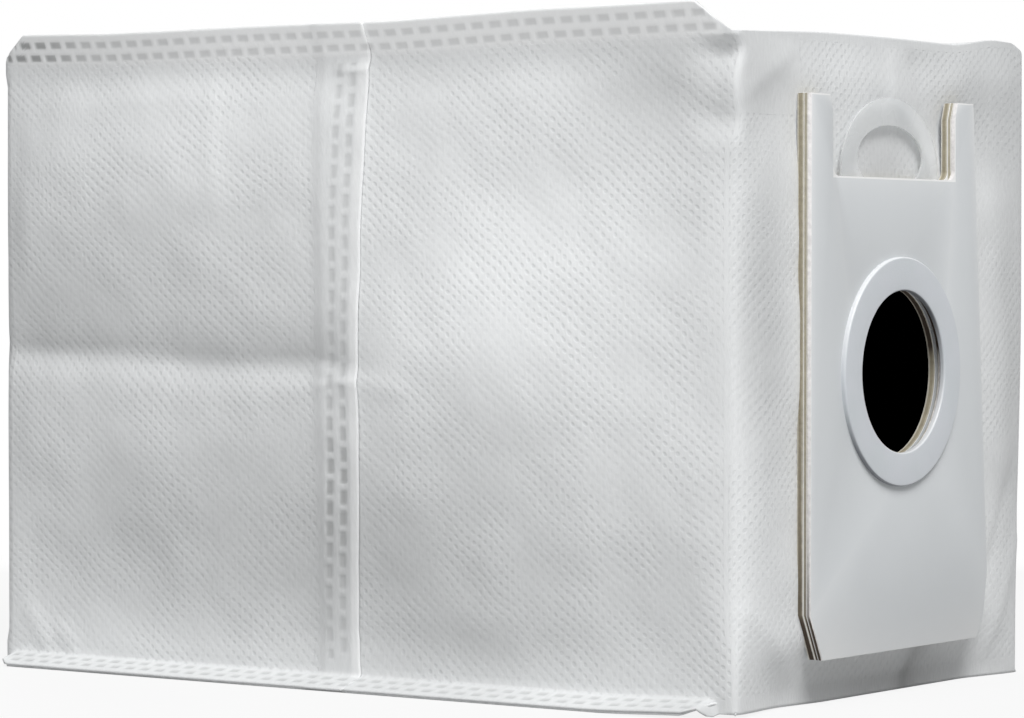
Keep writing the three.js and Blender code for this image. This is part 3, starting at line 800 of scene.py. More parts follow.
@dataclass
class WallCloth:
    """The sheet that wraps round the four sides and laps over itself in the middle of the front."""

    shape: BagShape
    cell: float = 2.95
    lap_start: float = -4.4
    lap_back: float = -5.4
    lap_flat: float = 10.0
    lap_lift: float = 0.6
    soft_corner: float = 6.5
    hard_corner: float = 1.5
    inlet_across: float = -0.2
    inlet_height: float = 64.8
    inlet_radius: float = 17.6
    weld_depth: float = 0.2
    pillow: float = 0.9
    bend_reach: float = 1.17
    fin_bend: float = 0.7
    curl: float = 0.05
    card_slant: float = -0.97
    quiet_slant: float = 0.07
    # How much painted highlight the lap's free edge gets, and how much painted light the shaded upper fins get
    lap_highlight_paint: float = 0.4
    fin_light_paint: float = 0.9
    fin_press: tuple = (0.36, 0.12, 0.52)
    foot_press: float = 0.5
    seam_press: tuple = (0.34, 0.66)
    edge_line: tuple = (
        (0.0, 5.0), (12.0, 3.1), (24.0, 3.3), (38.0, 4.0),
        (60.0, 4.9), (95.0, 5.5), (118.0, 6.3), (130.0, 7.0),
    )
    seam_rows: tuple = (-7.4, -4.0)
    crease_line: tuple = (
        (-94.6, 68.8), (-83.0, 67.8), (-58.0, 67.4),
        (-37.0, 65.4), (-5.0, 66.6), (16.0, 66.0),
    )
    swells: dict = field(default_factory=lambda: {
        Side.FRONT: [
            Swell(-54, 106, 40, 22, 2.9),
            Swell(-58, 52, 38, 16, 1.5),
            Swell(46, 74, 40, 32, 3.0),
            Swell(2, 14, 66, 24, -1.2),
            Swell(-84, 22, 16, 12, -0.8),
            Swell(84, 30, 18, 30, 0.7),
            Swell(80, 121, 12, 7, -0.5),
        ],
        Side.CARD: [
            Swell(0, 124, 40, 8, 0.8),
            Swell(-46, 70, 7, 50, 0.8),
            Swell(44, 60, 7, 60, 0.6),
            Swell(-46, 115, 12, 9, -1.1),
            Swell(38, 109, 22, 12, -2.0),
        ],
        Side.BACK: [Swell(-30, 80, 50, 32, 1.6), Swell(40, 50, 45, 30, 1.5)],
        Side.PLAIN: [Swell(-26, 66, 18, 40, 1.2), Swell(26, 66, 18, 40, 1.2)],
    })
    folds: dict = field(default_factory=lambda: {
        Side.FRONT: [
            Fold((-1.5, 127.2), (7.5, 127.2), 0.7, 0.7, 1.2),
            Fold((0.0, 62.6), (18.0, 60.5), 0.6, 1.6, 1.2),
            Fold((-14.0, 60.5), (1.0, 62.4), 0.5, 1.6, 1.0),
            Fold((80.0, 124.0), (93.5, 114.5), 0.55, 1.6, 2.4),
            Fold((-88.0, 13.0), (-81.0, 3.5), 0.8, 1.4, 1.0),
            Fold((-79.0, 9.0), (-73.0, 3.5), 0.7, 1.2, 1.0),
            Fold((-34.0, 126.0), (-32.0, 98.0), 0.35, 1.2, 2.4),
            Fold((-70.0, 3.5), (-20.0, 5.0), 0.5, 2.4, 1.6),
        ],
        Side.CARD: [
            Fold((2.0, 128.5), (1.0, 112.0), 0.6, 3.0, 1.4),
            Fold((10.0, 128.0), (16.0, 108.0), -0.8, 4.0, 2.0),
            Fold((-54.0, 118.0), (-36.0, 127.0), 0.5, 1.6, 1.2),
            Fold((50.0, 42.0), (37.0, 14.0), -1.0, 2.6, 1.4),
            Fold((54.0, 30.0), (42.0, 4.0), 0.8, 2.2, 1.4),
            Fold((-30.0, 8.5), (28.0, 7.0), -0.9, 1.8, 1.2),
            Fold((-52.0, 20.0), (-34.0, 6.0), 0.8, 2.0, 1.4),
        ],
        Side.BACK: [Fold((-90.0, 66.0), (90.0, 65.0), -1.0, 4.0, 1.6)],
        Side.PLAIN: [
            Fold((0.0, 124.0), (0.0, 6.0), -2.2, 4.0, 4.0),
            Fold((-54.0, 68.0), (0.0, 66.0), -1.0, 4.0, 1.4),
            Fold((0.0, 66.0), (54.0, 67.0), -1.0, 4.0, 1.4),
        ],
    })
    # Painted shade and light, in shares of the cloth's tone: darker in the hollows, along the crease, near the
    # corners, under the top fin, at the foot and behind the pull tab, lighter on the front's bulge
    painted_shading: dict = field(default_factory=lambda: {
        Side.FRONT: [
            Swell(4, 36, 70, 24, -0.20),
            Swell(-4, 27, 50, 14, -0.13),
            Swell(38, 14, 50, 14, -0.10),
            Swell(-50, 84, 50, 20, -0.05),
            Fold((-94.0, 68.8), (4.0, 66.0), -0.29, 16.0, 1.4),
            Swell(-54, 50, 36, 16, -0.07),
            Swell(-56, 61, 42, 6, -0.08),
            Swell(-62, 24, 34, 12, -0.10),
            Swell(30, 9, 42, 6, -0.13),
            Swell(84, 0, 16, 4, -0.12),
            Swell(38, 79, 24, 18, 0.09),
            Swell(56, 112, 46, 16, -0.08),
            Swell(76, 121, 17, 9, -0.17),
            Swell(86, 62, 14, 50, -0.07),
            Swell(92, 60, 7, 56, -0.08),
            Swell(-91, 44, 9, 46, -0.07),
            Swell(0, 132, 110, 6, -0.13),
        ],
        Side.CARD: [
            Swell(38, 118, 20, 8, -0.08),
            Swell(-46, 121, 9, 7, -0.10),
            Swell(-48, 78, 8, 24, -0.20),
            Swell(52, 60, 9, 62, -0.24),
            Swell(2, 4, 44, 6, -0.12),
            Swell(6, 1.5, 32, 2.6, -0.25),
            Swell(-2, 107, 9, 6, -0.14),
            Fold((20.0, 13.0), (8.0, -1.0), -0.3, 3.4, 1.2),
        ],
        Side.BACK: [Swell(-30, 50, 50, 24, -0.06)],
        Side.PLAIN: [Swell(0, 50, 30, 30, -0.05)],
    })
    ripples: tuple = (Ripple(3, 46.0, 0.36), Ripple(8, 21.0, 0.14), Ripple(21, 9.5, 0.05))

    def turns(self) -> list[float]:
        """Gives the places of the four corners along the flat sheet.

        Returns:
            The four places.
        """
        first = self.shape.length / 2 - self.lap_start
        second = first + self.shape.depth
        third = second + self.shape.length
        return [first, second, third, third + self.shape.depth]

    def lap_place(self) -> float:
        """Gives the place along the flat sheet where the lap begins to cross the under ply."""
        return self.turns()[3] + self.shape.length / 2 + self.lap_back

    def free_edge(self, height: np.ndarray) -> np.ndarray:
        """Gives the place of the lap's free edge, which bows a little.

        Args:
            height: Height above the foot.

        Returns:
            The place across the front.
        """
        return np.interp(height, *zip(*self.edge_line))

    def sheet(self) -> bmesh.types.BMesh:
        """Cuts the flat sheet, finer where it is welded and on the sides that show most.

        Returns:
            The flat mesh, whose own coordinates are millimetres on the sheet.
        """
        shape = self.shape
        wide = self.lap_place() + self.lap_flat
        low, high = -shape.fin, shape.height - shape.foot + shape.fin
        mesh = bmesh.new()
        columns, rows = round(wide / self.cell), round((high - low) / self.cell)
        bmesh.ops.create_grid(mesh, x_segments=columns, y_segments=rows, size=0.5)
        bmesh.ops.scale(mesh, vec=(wide, high - low, 1.0), verts=mesh.verts)
        bmesh.ops.translate(mesh, vec=(wide / 2, (high + low) / 2, 0.0), verts=mesh.verts)
        top = shape.height - shape.foot
        turn = self.turns()
        lap = self.lap_place()

        def refine(cuts: int, wanted: object) -> None:
            """Subdivides the faces that a test picks.

            Args:
                cuts: Cuts in each edge.
                wanted: A test of a face's middle.
            """
            edges = {edge for face in mesh.faces if wanted(face.calc_center_median()) for edge in face.edges}
            bmesh.ops.subdivide_edges(mesh, edges=list(edges), cuts=cuts, use_grid_fill=True)

        def welded(place: Vector) -> bool:
            """Tells whether a place lies in a fin or in the lap seam."""
            fin = place.y < 0.5 or place.y > top - 1.0
            return fin or place.x > lap - 1.0

        def front(place: Vector) -> bool:
            """Tells whether a place lies on the front."""
            return place.x < turn[0] - 2.0 or place.x > turn[3] + 2.0

        refine(1, lambda place: place.x < turn[1] or place.x > turn[3] or welded(place))
        refine(2, lambda place: welded(place) and front(place))
        refine(1, lambda place: welded(place) and turn[1] < place.x < turn[2])
        self.punch(mesh)
        return mesh

    def punch(self, mesh: bmesh.types.BMesh) -> None:
        """Cuts the round inlet into the flat sheet.

        Args:
            mesh: The flat mesh.
        """
        middle = Vector((self.turns()[0] + self.shape.depth / 2 + self.inlet_across,
                         self.inlet_height - self.shape.foot, 0.0))
        inside = [face for face in mesh.faces
                  if (face.calc_center_median() - middle).length < self.inlet_radius]
        bmesh.ops.delete(mesh, geom=inside, context="FACES")
        for edge in mesh.edges:
            if edge.is_boundary and (edge.verts[0].co - middle).length < 2 * self.inlet_radius:
                for corner in edge.verts:
                    corner.co = middle + (corner.co - middle).normalized() * self.inlet_radius

    def relief(self, side: Side, across: np.ndarray, height: np.ndarray) -> np.ndarray:
        """Adds up the bulges, folds and ripples of one side.

        Args:
            side: The side.
            across: Place across the side.
            height: Height above the foot.

        Returns:
            The outward offsets.
        """
        shape = self.shape
        half = (shape.length if side in (Side.FRONT, Side.BACK) else shape.depth) / 2
        edge = soft_step((half - np.abs(across)) / 9.0)
        ends = soft_step((height - shape.foot) / 10.0) * soft_step((shape.height - height) / 9.0)
        filled = np.maximum(1.0 - (across / half) ** 2, 0.0)
        filled = filled * np.maximum(1.0 - (2 * height / shape.height - 1) ** 2, 0.0)
        total = self.pillow * filled
        for ripple in self.ripples:
            total = total + edge * ends * ripple.lift(across + 300.0 * list(Side).index(side), height)
        for swell in self.swells[side]:
            total = total + edge * ends * swell.lift(across, height)
        near_ends = soft_step((height - 0.5) / 4.0) * soft_step((shape.height + 1.0 - height) / 3.0)
        for fold in self.folds[side]:
            total = total + near_ends * fold.lift(across, height)
        if side is Side.FRONT:
            total = total + self.crease(across, height)
        return total

    def crease(self, across: np.ndarray, height: np.ndarray) -> np.ndarray:
        """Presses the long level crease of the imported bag, sharp below and soft above, into the front.

        Args:
            across: Place across the front.
            height: Height above the foot.

        Returns:
            The outward offsets.
        """
        places, heights = zip(*self.crease_line)
        above = height - np.interp(across, places, heights)
        flank = np.where(above > 0.0, np.exp(-np.abs(above) / 8.0), np.exp(-((above / 4.2) ** 2)))
        fade = soft_step((14.0 - across) / 20.0)
        pucker = 0.5 * np.exp(-(((across + 5.0) / 4.0) ** 2) - ((above + 1.6) / 1.6) ** 2)
        return fade * (pucker - 1.5 * flank)

    def build(self, finish: list) -> bpy.types.Object:
        """Wraps the flat sheet round the box.

        Args:
            finish: The outer and the inner material.

        Returns:
            The piece.
        """
        shape = self.shape
        mesh = self.sheet()
        flat = np.array([vert.co[:2] for vert in mesh.verts])
        u, v = flat[:, 0], flat[:, 1]
        top = shape.height - shape.foot
        level = np.clip(v, 0.0, top)
        height = shape.foot + level

        tall = soft_step((height - shape.foot) / 26.0) * soft_step((117.0 - height) / 17.0)
        soft = self.bend_reach * (self.hard_corner + (self.soft_corner - self.hard_corner) * tall)
        hard = np.full_like(u, self.bend_reach * self.hard_corner)
        turns = self.turns()
        bends = [rounded_ramp(u - place, soft if i == 0 else hard) for i, place in enumerate(turns)]
        ramps, slopes = zip(*bends)
        lap = self.lap_place()
        over = np.clip(u - lap, 0.0, None)
        stretch = (self.free_edge(height) - self.lap_back) / self.lap_flat
        run = u - over + over * stretch
        x = self.lap_start + run - ramps[0] - ramps[1] + ramps[2] + ramps[3]
        y = -shape.depth / 2 + ramps[0] - ramps[1] - ramps[2] + ramps[3]
        tx = 1.0 - slopes[0] - slopes[1] + slopes[2] + slopes[3]
        ty = slopes[0] - slopes[1] - slopes[2] + slopes[3]
        size = np.hypot(tx, ty)
        nx, ny = ty / size, -tx / size

        out, painted_shading = np.zeros_like(u), np.zeros_like(u)
        for side in Side:
            facing = soft_step((nx * side.value[0] + ny * side.value[1] - 0.6) / 0.38)
            across = x if side in (Side.FRONT, Side.BACK) else y
            out += facing * self.relief(side, across, height)
            # Gathers each side's painted shade and light
            for spot in self.painted_shading[side]:
                painted_shading += facing * spot.lift(across, height)
        lapped = soft_step((x - self.lap_back + 2.4) / 3.6) * (u > turns[3])
        to_edge = self.lap_flat - (u - lap)
        curl = self.curl * np.exp(-(((to_edge - 0.9) / 0.8) ** 2)) * (u > lap)
        finned = np.clip(np.maximum(v - top, -v) / 2.0, 0.0, 1.0)
        out += lapped * (self.lap_lift - 0.1 * finned) + curl * (1.0 - 0.8 * finned)

        back = soft_step(0.5 + ny)
        upright = np.abs(ny) > 0.8
        share_top = np.where(upright, shape.fin_share(x, True, back), 0.0)
        share_foot = np.where(upright, shape.fin_share(x, False, back), 0.0)
        rise, _ = rounded_ramp(v - top, np.full_like(v, self.fin_bend))
        width = share_top * shape.fin + (1 - share_top) * shape.arch(y)
        lean = shape.lean_at(x, back) * soft_step(2.0 * share_top)
        drop, _ = rounded_ramp(-v, np.full_like(v, self.fin_bend))
        foot_width = share_foot * shape.fin + (1 - share_foot) * shape.foot
        spread = (math.pi / 2 - math.radians(shape.foot_drop)) * soft_step(2.0 * share_foot)
        up = rise / shape.fin * width
        down = drop / shape.fin * foot_width
        z = shape.foot + v - rise + drop + up * np.cos(lean) - down * np.cos(spread)
        out += up * np.sin(lean) + down * np.sin(spread)

        weld = self.welds(x, height, u, up, down, share_top, share_foot)
        pressed = self.weld_depth * np.minimum(1.6 * weld, 1.0)
        out -= pressed * np.where(finned > 0.5, np.cos(lean), 1.0) * np.where(v < -0.5, math.sin(0.2), 1.0)
        z -= np.where(v < -0.5, pressed * 0.95, 0.0)
        z += np.where(v > top + 0.3, pressed * np.sin(lean), 0.0)

        place = (x + nx * out, y + ny * out, z)
        onward, aside, upward = shape.settle(*place)
        level = np.maximum(z + upward, 0.0)
        points = np.stack([place[0] + onward + shape.centre, place[1] + aside, level], axis=1) * MM
        smooth = (finned > 0.5) | ((u > lap - 1.0) & upright)
        quiet = soft_step(-(x + 64.0) / 20.0) * soft_step((height - 96.0) / 14.0)
        smooth = smooth | ((nx > 0.5) & (y < -34.0) & (height > 116.0))
        slant = np.where(nx > 0.5, self.card_slant, 1.0 - self.quiet_slant * quiet)
        # Painted highlight along the lap's free edge and painted light on the upper fins, both read as the edge
        # attribute
        lap_painted_highlight = self.lap_highlight_paint * soft_step((2.4 - to_edge) / 0.7) * (u > lap) * (finned < 0.5)
        fin_painted_light = self.fin_light_paint * soft_step((v - top + 1.0) / 2.0) * soft_step(2.0 * share_top)
        marks = {"weld": weld, "painted_shading": painted_shading, "slant": np.where(smooth, 0.0, slant),
                 "edge": np.maximum(lap_painted_highlight, fin_painted_light)}
        sheet_up = shape.foot + np.clip(v, 0.0, top) + up - down
        for face in mesh.faces:
            middle = face.calc_center_median()
            face.material_index = 2 if middle.x > lap - 2.0 or not 0.0 < middle.y < top - 6.0 else 0
        flat = np.stack([u, sheet_up], axis=1) * MM
        return cloth_piece(mesh, "wall_cloth", points, flat, marks, finish, shape.cloth)

    def welds(self, x: np.ndarray, height: np.ndarray, u: np.ndarray, up: np.ndarray, down: np.ndarray,
              share_top: np.ndarray, share_foot: np.ndarray) -> np.ndarray:
        """Finds where the weld dashes press the cloth.

        Args:
            x: Place along the bag.
            height: Height above the foot.
            u: Place along the flat sheet.
            up: Distance up the upper fin.
            down: Distance out along the foot fin.
            share_top: Share of the upper fin's width.
            share_foot: Share of the foot fin's width.

        Returns:
            The press, from 0 to 1.
        """
        weld = np.zeros_like(x)
        faint, firmer, firmest = self.fin_press
        for shift, place in zip((0.0, 0.45), self.shape.top_dashes):
            row = Dashes(shift=shift).press(x, up - place) * (share_top > 0.97 * place / self.shape.fin)
            row = row * (faint + firmer * soft_step(-(x + 30.0) / 40.0) + firmest * soft_step(-(x + 66.0) / 20.0))
            weld = np.maximum(weld, row * (share_top > 0.05) * (up > 0.0))
        for shift, place in zip((0.2, 0.65), self.shape.foot_dashes):
            row = Dashes(shift=shift, long=2.3, wide=1.2, pitch=4.1).press(x, down - place)
            weld = np.maximum(weld, self.foot_press * row * (share_foot > 0.6) * (down > 0.0))
        clear = (up < 0.1) & (down < 0.1) & (u > self.lap_place() - 3.0)
        for shift, place in zip((0.0, 0.45), self.seam_rows):
            line = self.free_edge(height) + place
            row = Dashes(long=2.9, wide=1.6, shift=shift).press(height, x - line)
            row = row * (self.seam_press[0] + self.seam_press[1] * np.exp(-(((height - 38.0) / 14.0) ** 2)))
            weld = np.maximum(weld, row * clear * (height > 6.0) * (height < 128.5))
        return weld


def cloth_piece(mesh: bmesh.types.BMesh, name: str, points: np.ndarray, flat: np.ndarray,
                marks: dict[str, np.ndarray], finish: list, thick: float) -> bpy.types.Object:
    """Makes a cloth piece from a flat mesh and the place of each of its vertices.

    Args:
        mesh: The flat mesh, which is freed.
        name: The piece's name.
        points: The place of each vertex.
        flat: The flat coordinates of each vertex.
        marks: What the material reads at each vertex: the welds, the bond points' slant, the painted shade and
            light, and the painted highlight on the cut edge and the upper fins.
        finish: The outer and the inner material, and the same again for stretches seen from both sides.
        thick: The cloth's thickness.

    Returns:
        The piece.
    """
    layer = mesh.loops.layers.uv.new("Flat")
    mesh.verts.index_update()
    for face in mesh.faces:
        for loop in face.loops:
            loop[layer].uv = flat[loop.vert.index]
    piece = object_from(mesh, name, finish)
    piece.data.vertices.foreach_set("co", points.astype(np.float32).ravel())
    for key, values in marks.items():
        attribute = piece.data.attributes.new(key, "FLOAT", "POINT")
        attribute.data.foreach_set("value", values.astype(np.float32))
    piece.data.update()
    thicken(piece, thick, 1)
    return piece


@dataclass
class PanelCloth:
    """A panel that closes the top or the base. Its long sides turn into the fins, its ends into the bag."""

    shape: BagShape
    panel: Panel
    cell: float = 2.4
    flange: float = 6.0
    crown: float = 1.1
    sink: float = 1.0
    base_ramp: float = 12.0
    weld_depth: float = 0.2
    ripple_wave: float = 34.0
    ripple_out: float = 0.3

    def build(self, name: str, finish: list) -> bpy.types.Object:
        """Folds the flat panel.

        Args:
            name: The piece's name.
            finish: Its material.

        Returns:
            The piece.
        """
        shape = self.shape
        top = self.panel is Panel.TOP
        half_x = shape.length / 2 - shape.cloth - shape.ply_gap
        inset = shape.cloth + shape.ply_gap + (shape.cloth if top else 0.0)
        half_y = shape.depth / 2 - inset
        wide, deep = 2 * (half_x + self.flange), 2 * (half_y + shape.fin)
        mesh = bmesh.new()
        columns, rows = round(wide / self.cell), round(deep / self.cell)
        bmesh.ops.create_grid(mesh, x_segments=columns, y_segments=rows, size=0.5)
        bmesh.ops.scale(mesh, vec=(wide, deep, 1.0), verts=mesh.verts)
        welded = {edge for face in mesh.faces if abs(face.calc_center_median().y) > half_y - 1.0
                  for edge in face.edges}
        bmesh.ops.subdivide_edges(mesh, edges=list(welded), cuts=3, use_grid_fill=True)
        flat = np.array([vert.co[:2] for vert in mesh.verts])
        a, b = flat[:, 0], flat[:, 1]
        side = np.sign(b)
        bend = np.full_like(a, 0.8)
        past_end, _ = rounded_ramp(np.abs(a) - half_x, bend)
        past_side, _ = rounded_ramp(np.abs(b) - half_y, bend)
        x = np.sign(a) * (np.abs(a) - past_end)
        y = np.abs(b) - past_side
        share = shape.fin_share(x, top, (side > 0).astype(float))
        fin = past_side * share
        level = np.maximum(1.0 - (y / half_y) ** 2, 0.0)
        ripple = Ripple(31 if top else 37, self.ripple_wave, self.ripple_out).lift(a, b)
        ripple = ripple * level * soft_step((half_x - np.abs(x)) / 8)
        if top:
            lean = shape.lean_at(x, (side > 0).astype(float)) * soft_step(2.0 * share)
            z = shape.height - self.sink + self.crown * level + ripple + fin * np.cos(lean)
            z = z + (self.sink + inset * np.tan(lean / 2)) * soft_step((y - half_y + 6.0) / 6.0)
            out = fin * np.sin(lean)
            turned = -past_end * soft_step((half_y - y) / 4.0)
        else:
            drop = math.radians(shape.foot_drop)
            under = shape.foot - shape.cloth * 2 - shape.ply_gap
            z = under * soft_step((y - half_y + self.base_ramp) / self.base_ramp)
            z = z * soft_step((half_x - np.abs(x)) / 6.0 + 0.2)
            z = z + np.maximum(ripple, 0.0) * 0.5 - fin * math.sin(drop)
            out = fin * math.cos(drop)
            turned = past_end * soft_step((half_y - y) / 4.0)
        weld = np.zeros_like(a)
        for shift, place in zip((0.0, 0.45), shape.top_dashes if top else shape.foot_dashes):
            weld = np.maximum(weld, Dashes(shift=shift).press(x, fin - place) * (share > 0.9) * (fin > 0.0))
        z = z + turned - self.weld_depth * weld * self.panel.value
        onward, aside, upward = shape.settle(x, side * (y + out), z)
        level = np.maximum(z + upward, 0.05)
        points = np.stack([x + onward + shape.centre, side * (y + out) + aside, level], axis=1) * MM
        for face in mesh.faces:
            face.material_index = 2 if abs(face.calc_center_median().y) > half_y else 0
        if not top:
            bmesh.ops.reverse_faces(mesh, faces=mesh.faces)
        marks = {"weld": weld, "slant": np.ones_like(a), "painted_shading": np.zeros_like(a), "edge": np.zeros_like(a)}
        return cloth_piece(mesh, name, points, (flat + 200.0) * MM, marks, finish, shape.cloth)


def board_copy(node: str, name: str, material: bpy.types.Material, bevel: float) -> bpy.types.Object:
    """Copies a packed board, joins its loose triangles and softens its edges.

    Args:
        node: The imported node.
        name: The new piece's name.
        material: Its material.
        bevel: The width of the softened edges.

    Returns:
        The piece.
    """
    mesh = bmesh.new()
    mesh.from_mesh(bpy.data.objects[node].data)
    bmesh.ops.remove_doubles(mesh, verts=mesh.verts, dist=JOIN_WITHIN)
    bmesh.ops.dissolve_limit(mesh, angle_limit=FLAT_WITHIN, verts=mesh.verts, edges=mesh.edges)
    sharp = [edge for edge in mesh.edges if edge.is_manifold and edge.calc_face_angle() > BEVEL_FROM]
    bmesh.ops.bevel(mesh, geom=sharp, offset=bevel * MM, segments=2, profile=0.5, affect="EDGES", material=-1,
                    clamp_overlap=True)
    bmesh.ops.triangulate(mesh, faces=[face for face in mesh.faces if len(face.verts) > 4])
    piece = object_from(mesh, name, [material])
    piece.data.set_sharp_from_angle(angle=BOARD_SPLIT)
    return piece


@dataclass
class MountingCard:
    """Three glued boards: a back board, a frame that leaves the shutter's channel, and a front board."""

    back: float = 92.0
    back_thick: float = 1.5
    spacer_thick: float = 0.75
    front_thick: float = 1.0
    bevel: float = 0.24
    spacer_bevel: float = 0.08
    cream: tuple = (0.60, 0.56, 0.47, 1.0)
    brown: tuple = (0.36, 0.32, 0.235, 1.0)
    tan: tuple = (0.50, 0.46, 0.36, 1.0)
    # shaded_core: the core's colour darkened as painted shade, used only on cut edges that face downwards
    shaded_core: tuple = (0.08, 0.06, 0.045, 1.0)
    white: tuple = (0.90, 0.875, 0.865, 1.0)

    def build(self) -> list[bpy.types.Object]:
        """Makes the three layers.

        Returns:
            The pieces, back to front.
        """
        spacer = self.back + self.back_thick
        front = spacer + self.spacer_thick
        rows = [
            ("back_board", "card_back", self.back, self.back_thick,
             ((0.0, self.cream), (0.24, self.brown), (0.72, self.tan)),
             ((0.0, self.cream), (0.2, self.shaded_core), (0.86, self.cream))),
            ("spacer_frame", "card_spacer", spacer, self.spacer_thick,
             ((0.0, self.tan), (0.62, self.brown)), ((0.0, self.cream), (0.3, self.shaded_core))),
            ("front_board", "card_front", front, self.front_thick,
             ((0.0, self.tan), (0.14, self.white)), ((0.0, self.shaded_core), (0.62, self.white))),
        ]
        pieces = []
        for node, name, back, thick, plies, shaded_plies in rows:
            finish = BoardFinish(back, thick, plies, shaded_plies).build(name + "_board")
            piece = board_copy(node, name, finish, self.spacer_bevel if node == "spacer_frame" else self.bevel)
            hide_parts(node)
            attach(piece, "bag")
            pieces.append(piece)
        return pieces


@dataclass
class PullShutter:
    """The sheet plastic shutter with its pull tab."""

    bevel: float = 0.12

    def build(self) -> bpy.types.Object:
        """Makes the shutter.

        Returns:
            The piece.
        """
        piece = board_copy("closure_slide", "pull_shutter", FilmFinish().build("milky_film"), self.bevel)
        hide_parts("closure_slide")
        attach(piece, "shutter")
        return piece


@dataclass
class SealRing:
    """The soft ring round the inlet."""

    face: float = 95.25
    across: float = -0.2
    height: float = 64.8
    inner: float = 16.2
    outer: float = 22.9
    thick: float = 1.0
    edge: float = 0.42
    steps: int = 96
    edge_steps: int = 5

    def build(self) -> bpy.types.Object:
        """Spins the ring's rounded profile round the inlet's axis.

        Returns:
            The piece.
        """
        mesh = bmesh.new()
        outline = [(self.inner, 0.0), (self.outer, 0.0)]
        for radius, start in ((self.outer - self.edge, 0.0), (self.inner + self.edge, 90.0)):
            for step in range(self.edge_steps + 1):
                angle = math.radians(start + 90.0 / self.edge_steps * step)
                outline.append((radius + self.edge * math.cos(angle),
                                self.thick - self.edge + self.edge * math.sin(angle)))
        verts = [mesh.verts.new((depth, radius, 0.0)) for radius, depth in outline]
        edges = [mesh.edges.new((a, b)) for a, b in zip(verts, verts[1:] + verts[:1])]
        bmesh.ops.spin(mesh, geom=verts + edges, cent=(0, 0, 0), axis=(1, 0, 0), angle=2 * math.pi,
                       steps=self.steps, use_merge=True)
        bmesh.ops.remove_doubles(mesh, verts=mesh.verts, dist=1e-5)
        bmesh.ops.recalc_face_normals(mesh, faces=mesh.faces)
        bmesh.ops.translate(mesh, vec=(self.face, self.across, self.height), verts=mesh.verts)
        bmesh.ops.scale(mesh, vec=(MM, MM, MM), verts=mesh.verts)
        piece = object_from(mesh, "seal_ring", [SealFinish().build("seal_foam")])
        piece.data.set_sharp_from_angle(angle=SEAL_SPLIT)
        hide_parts("inlet_gasket")
        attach(piece, "bag")
        return piece


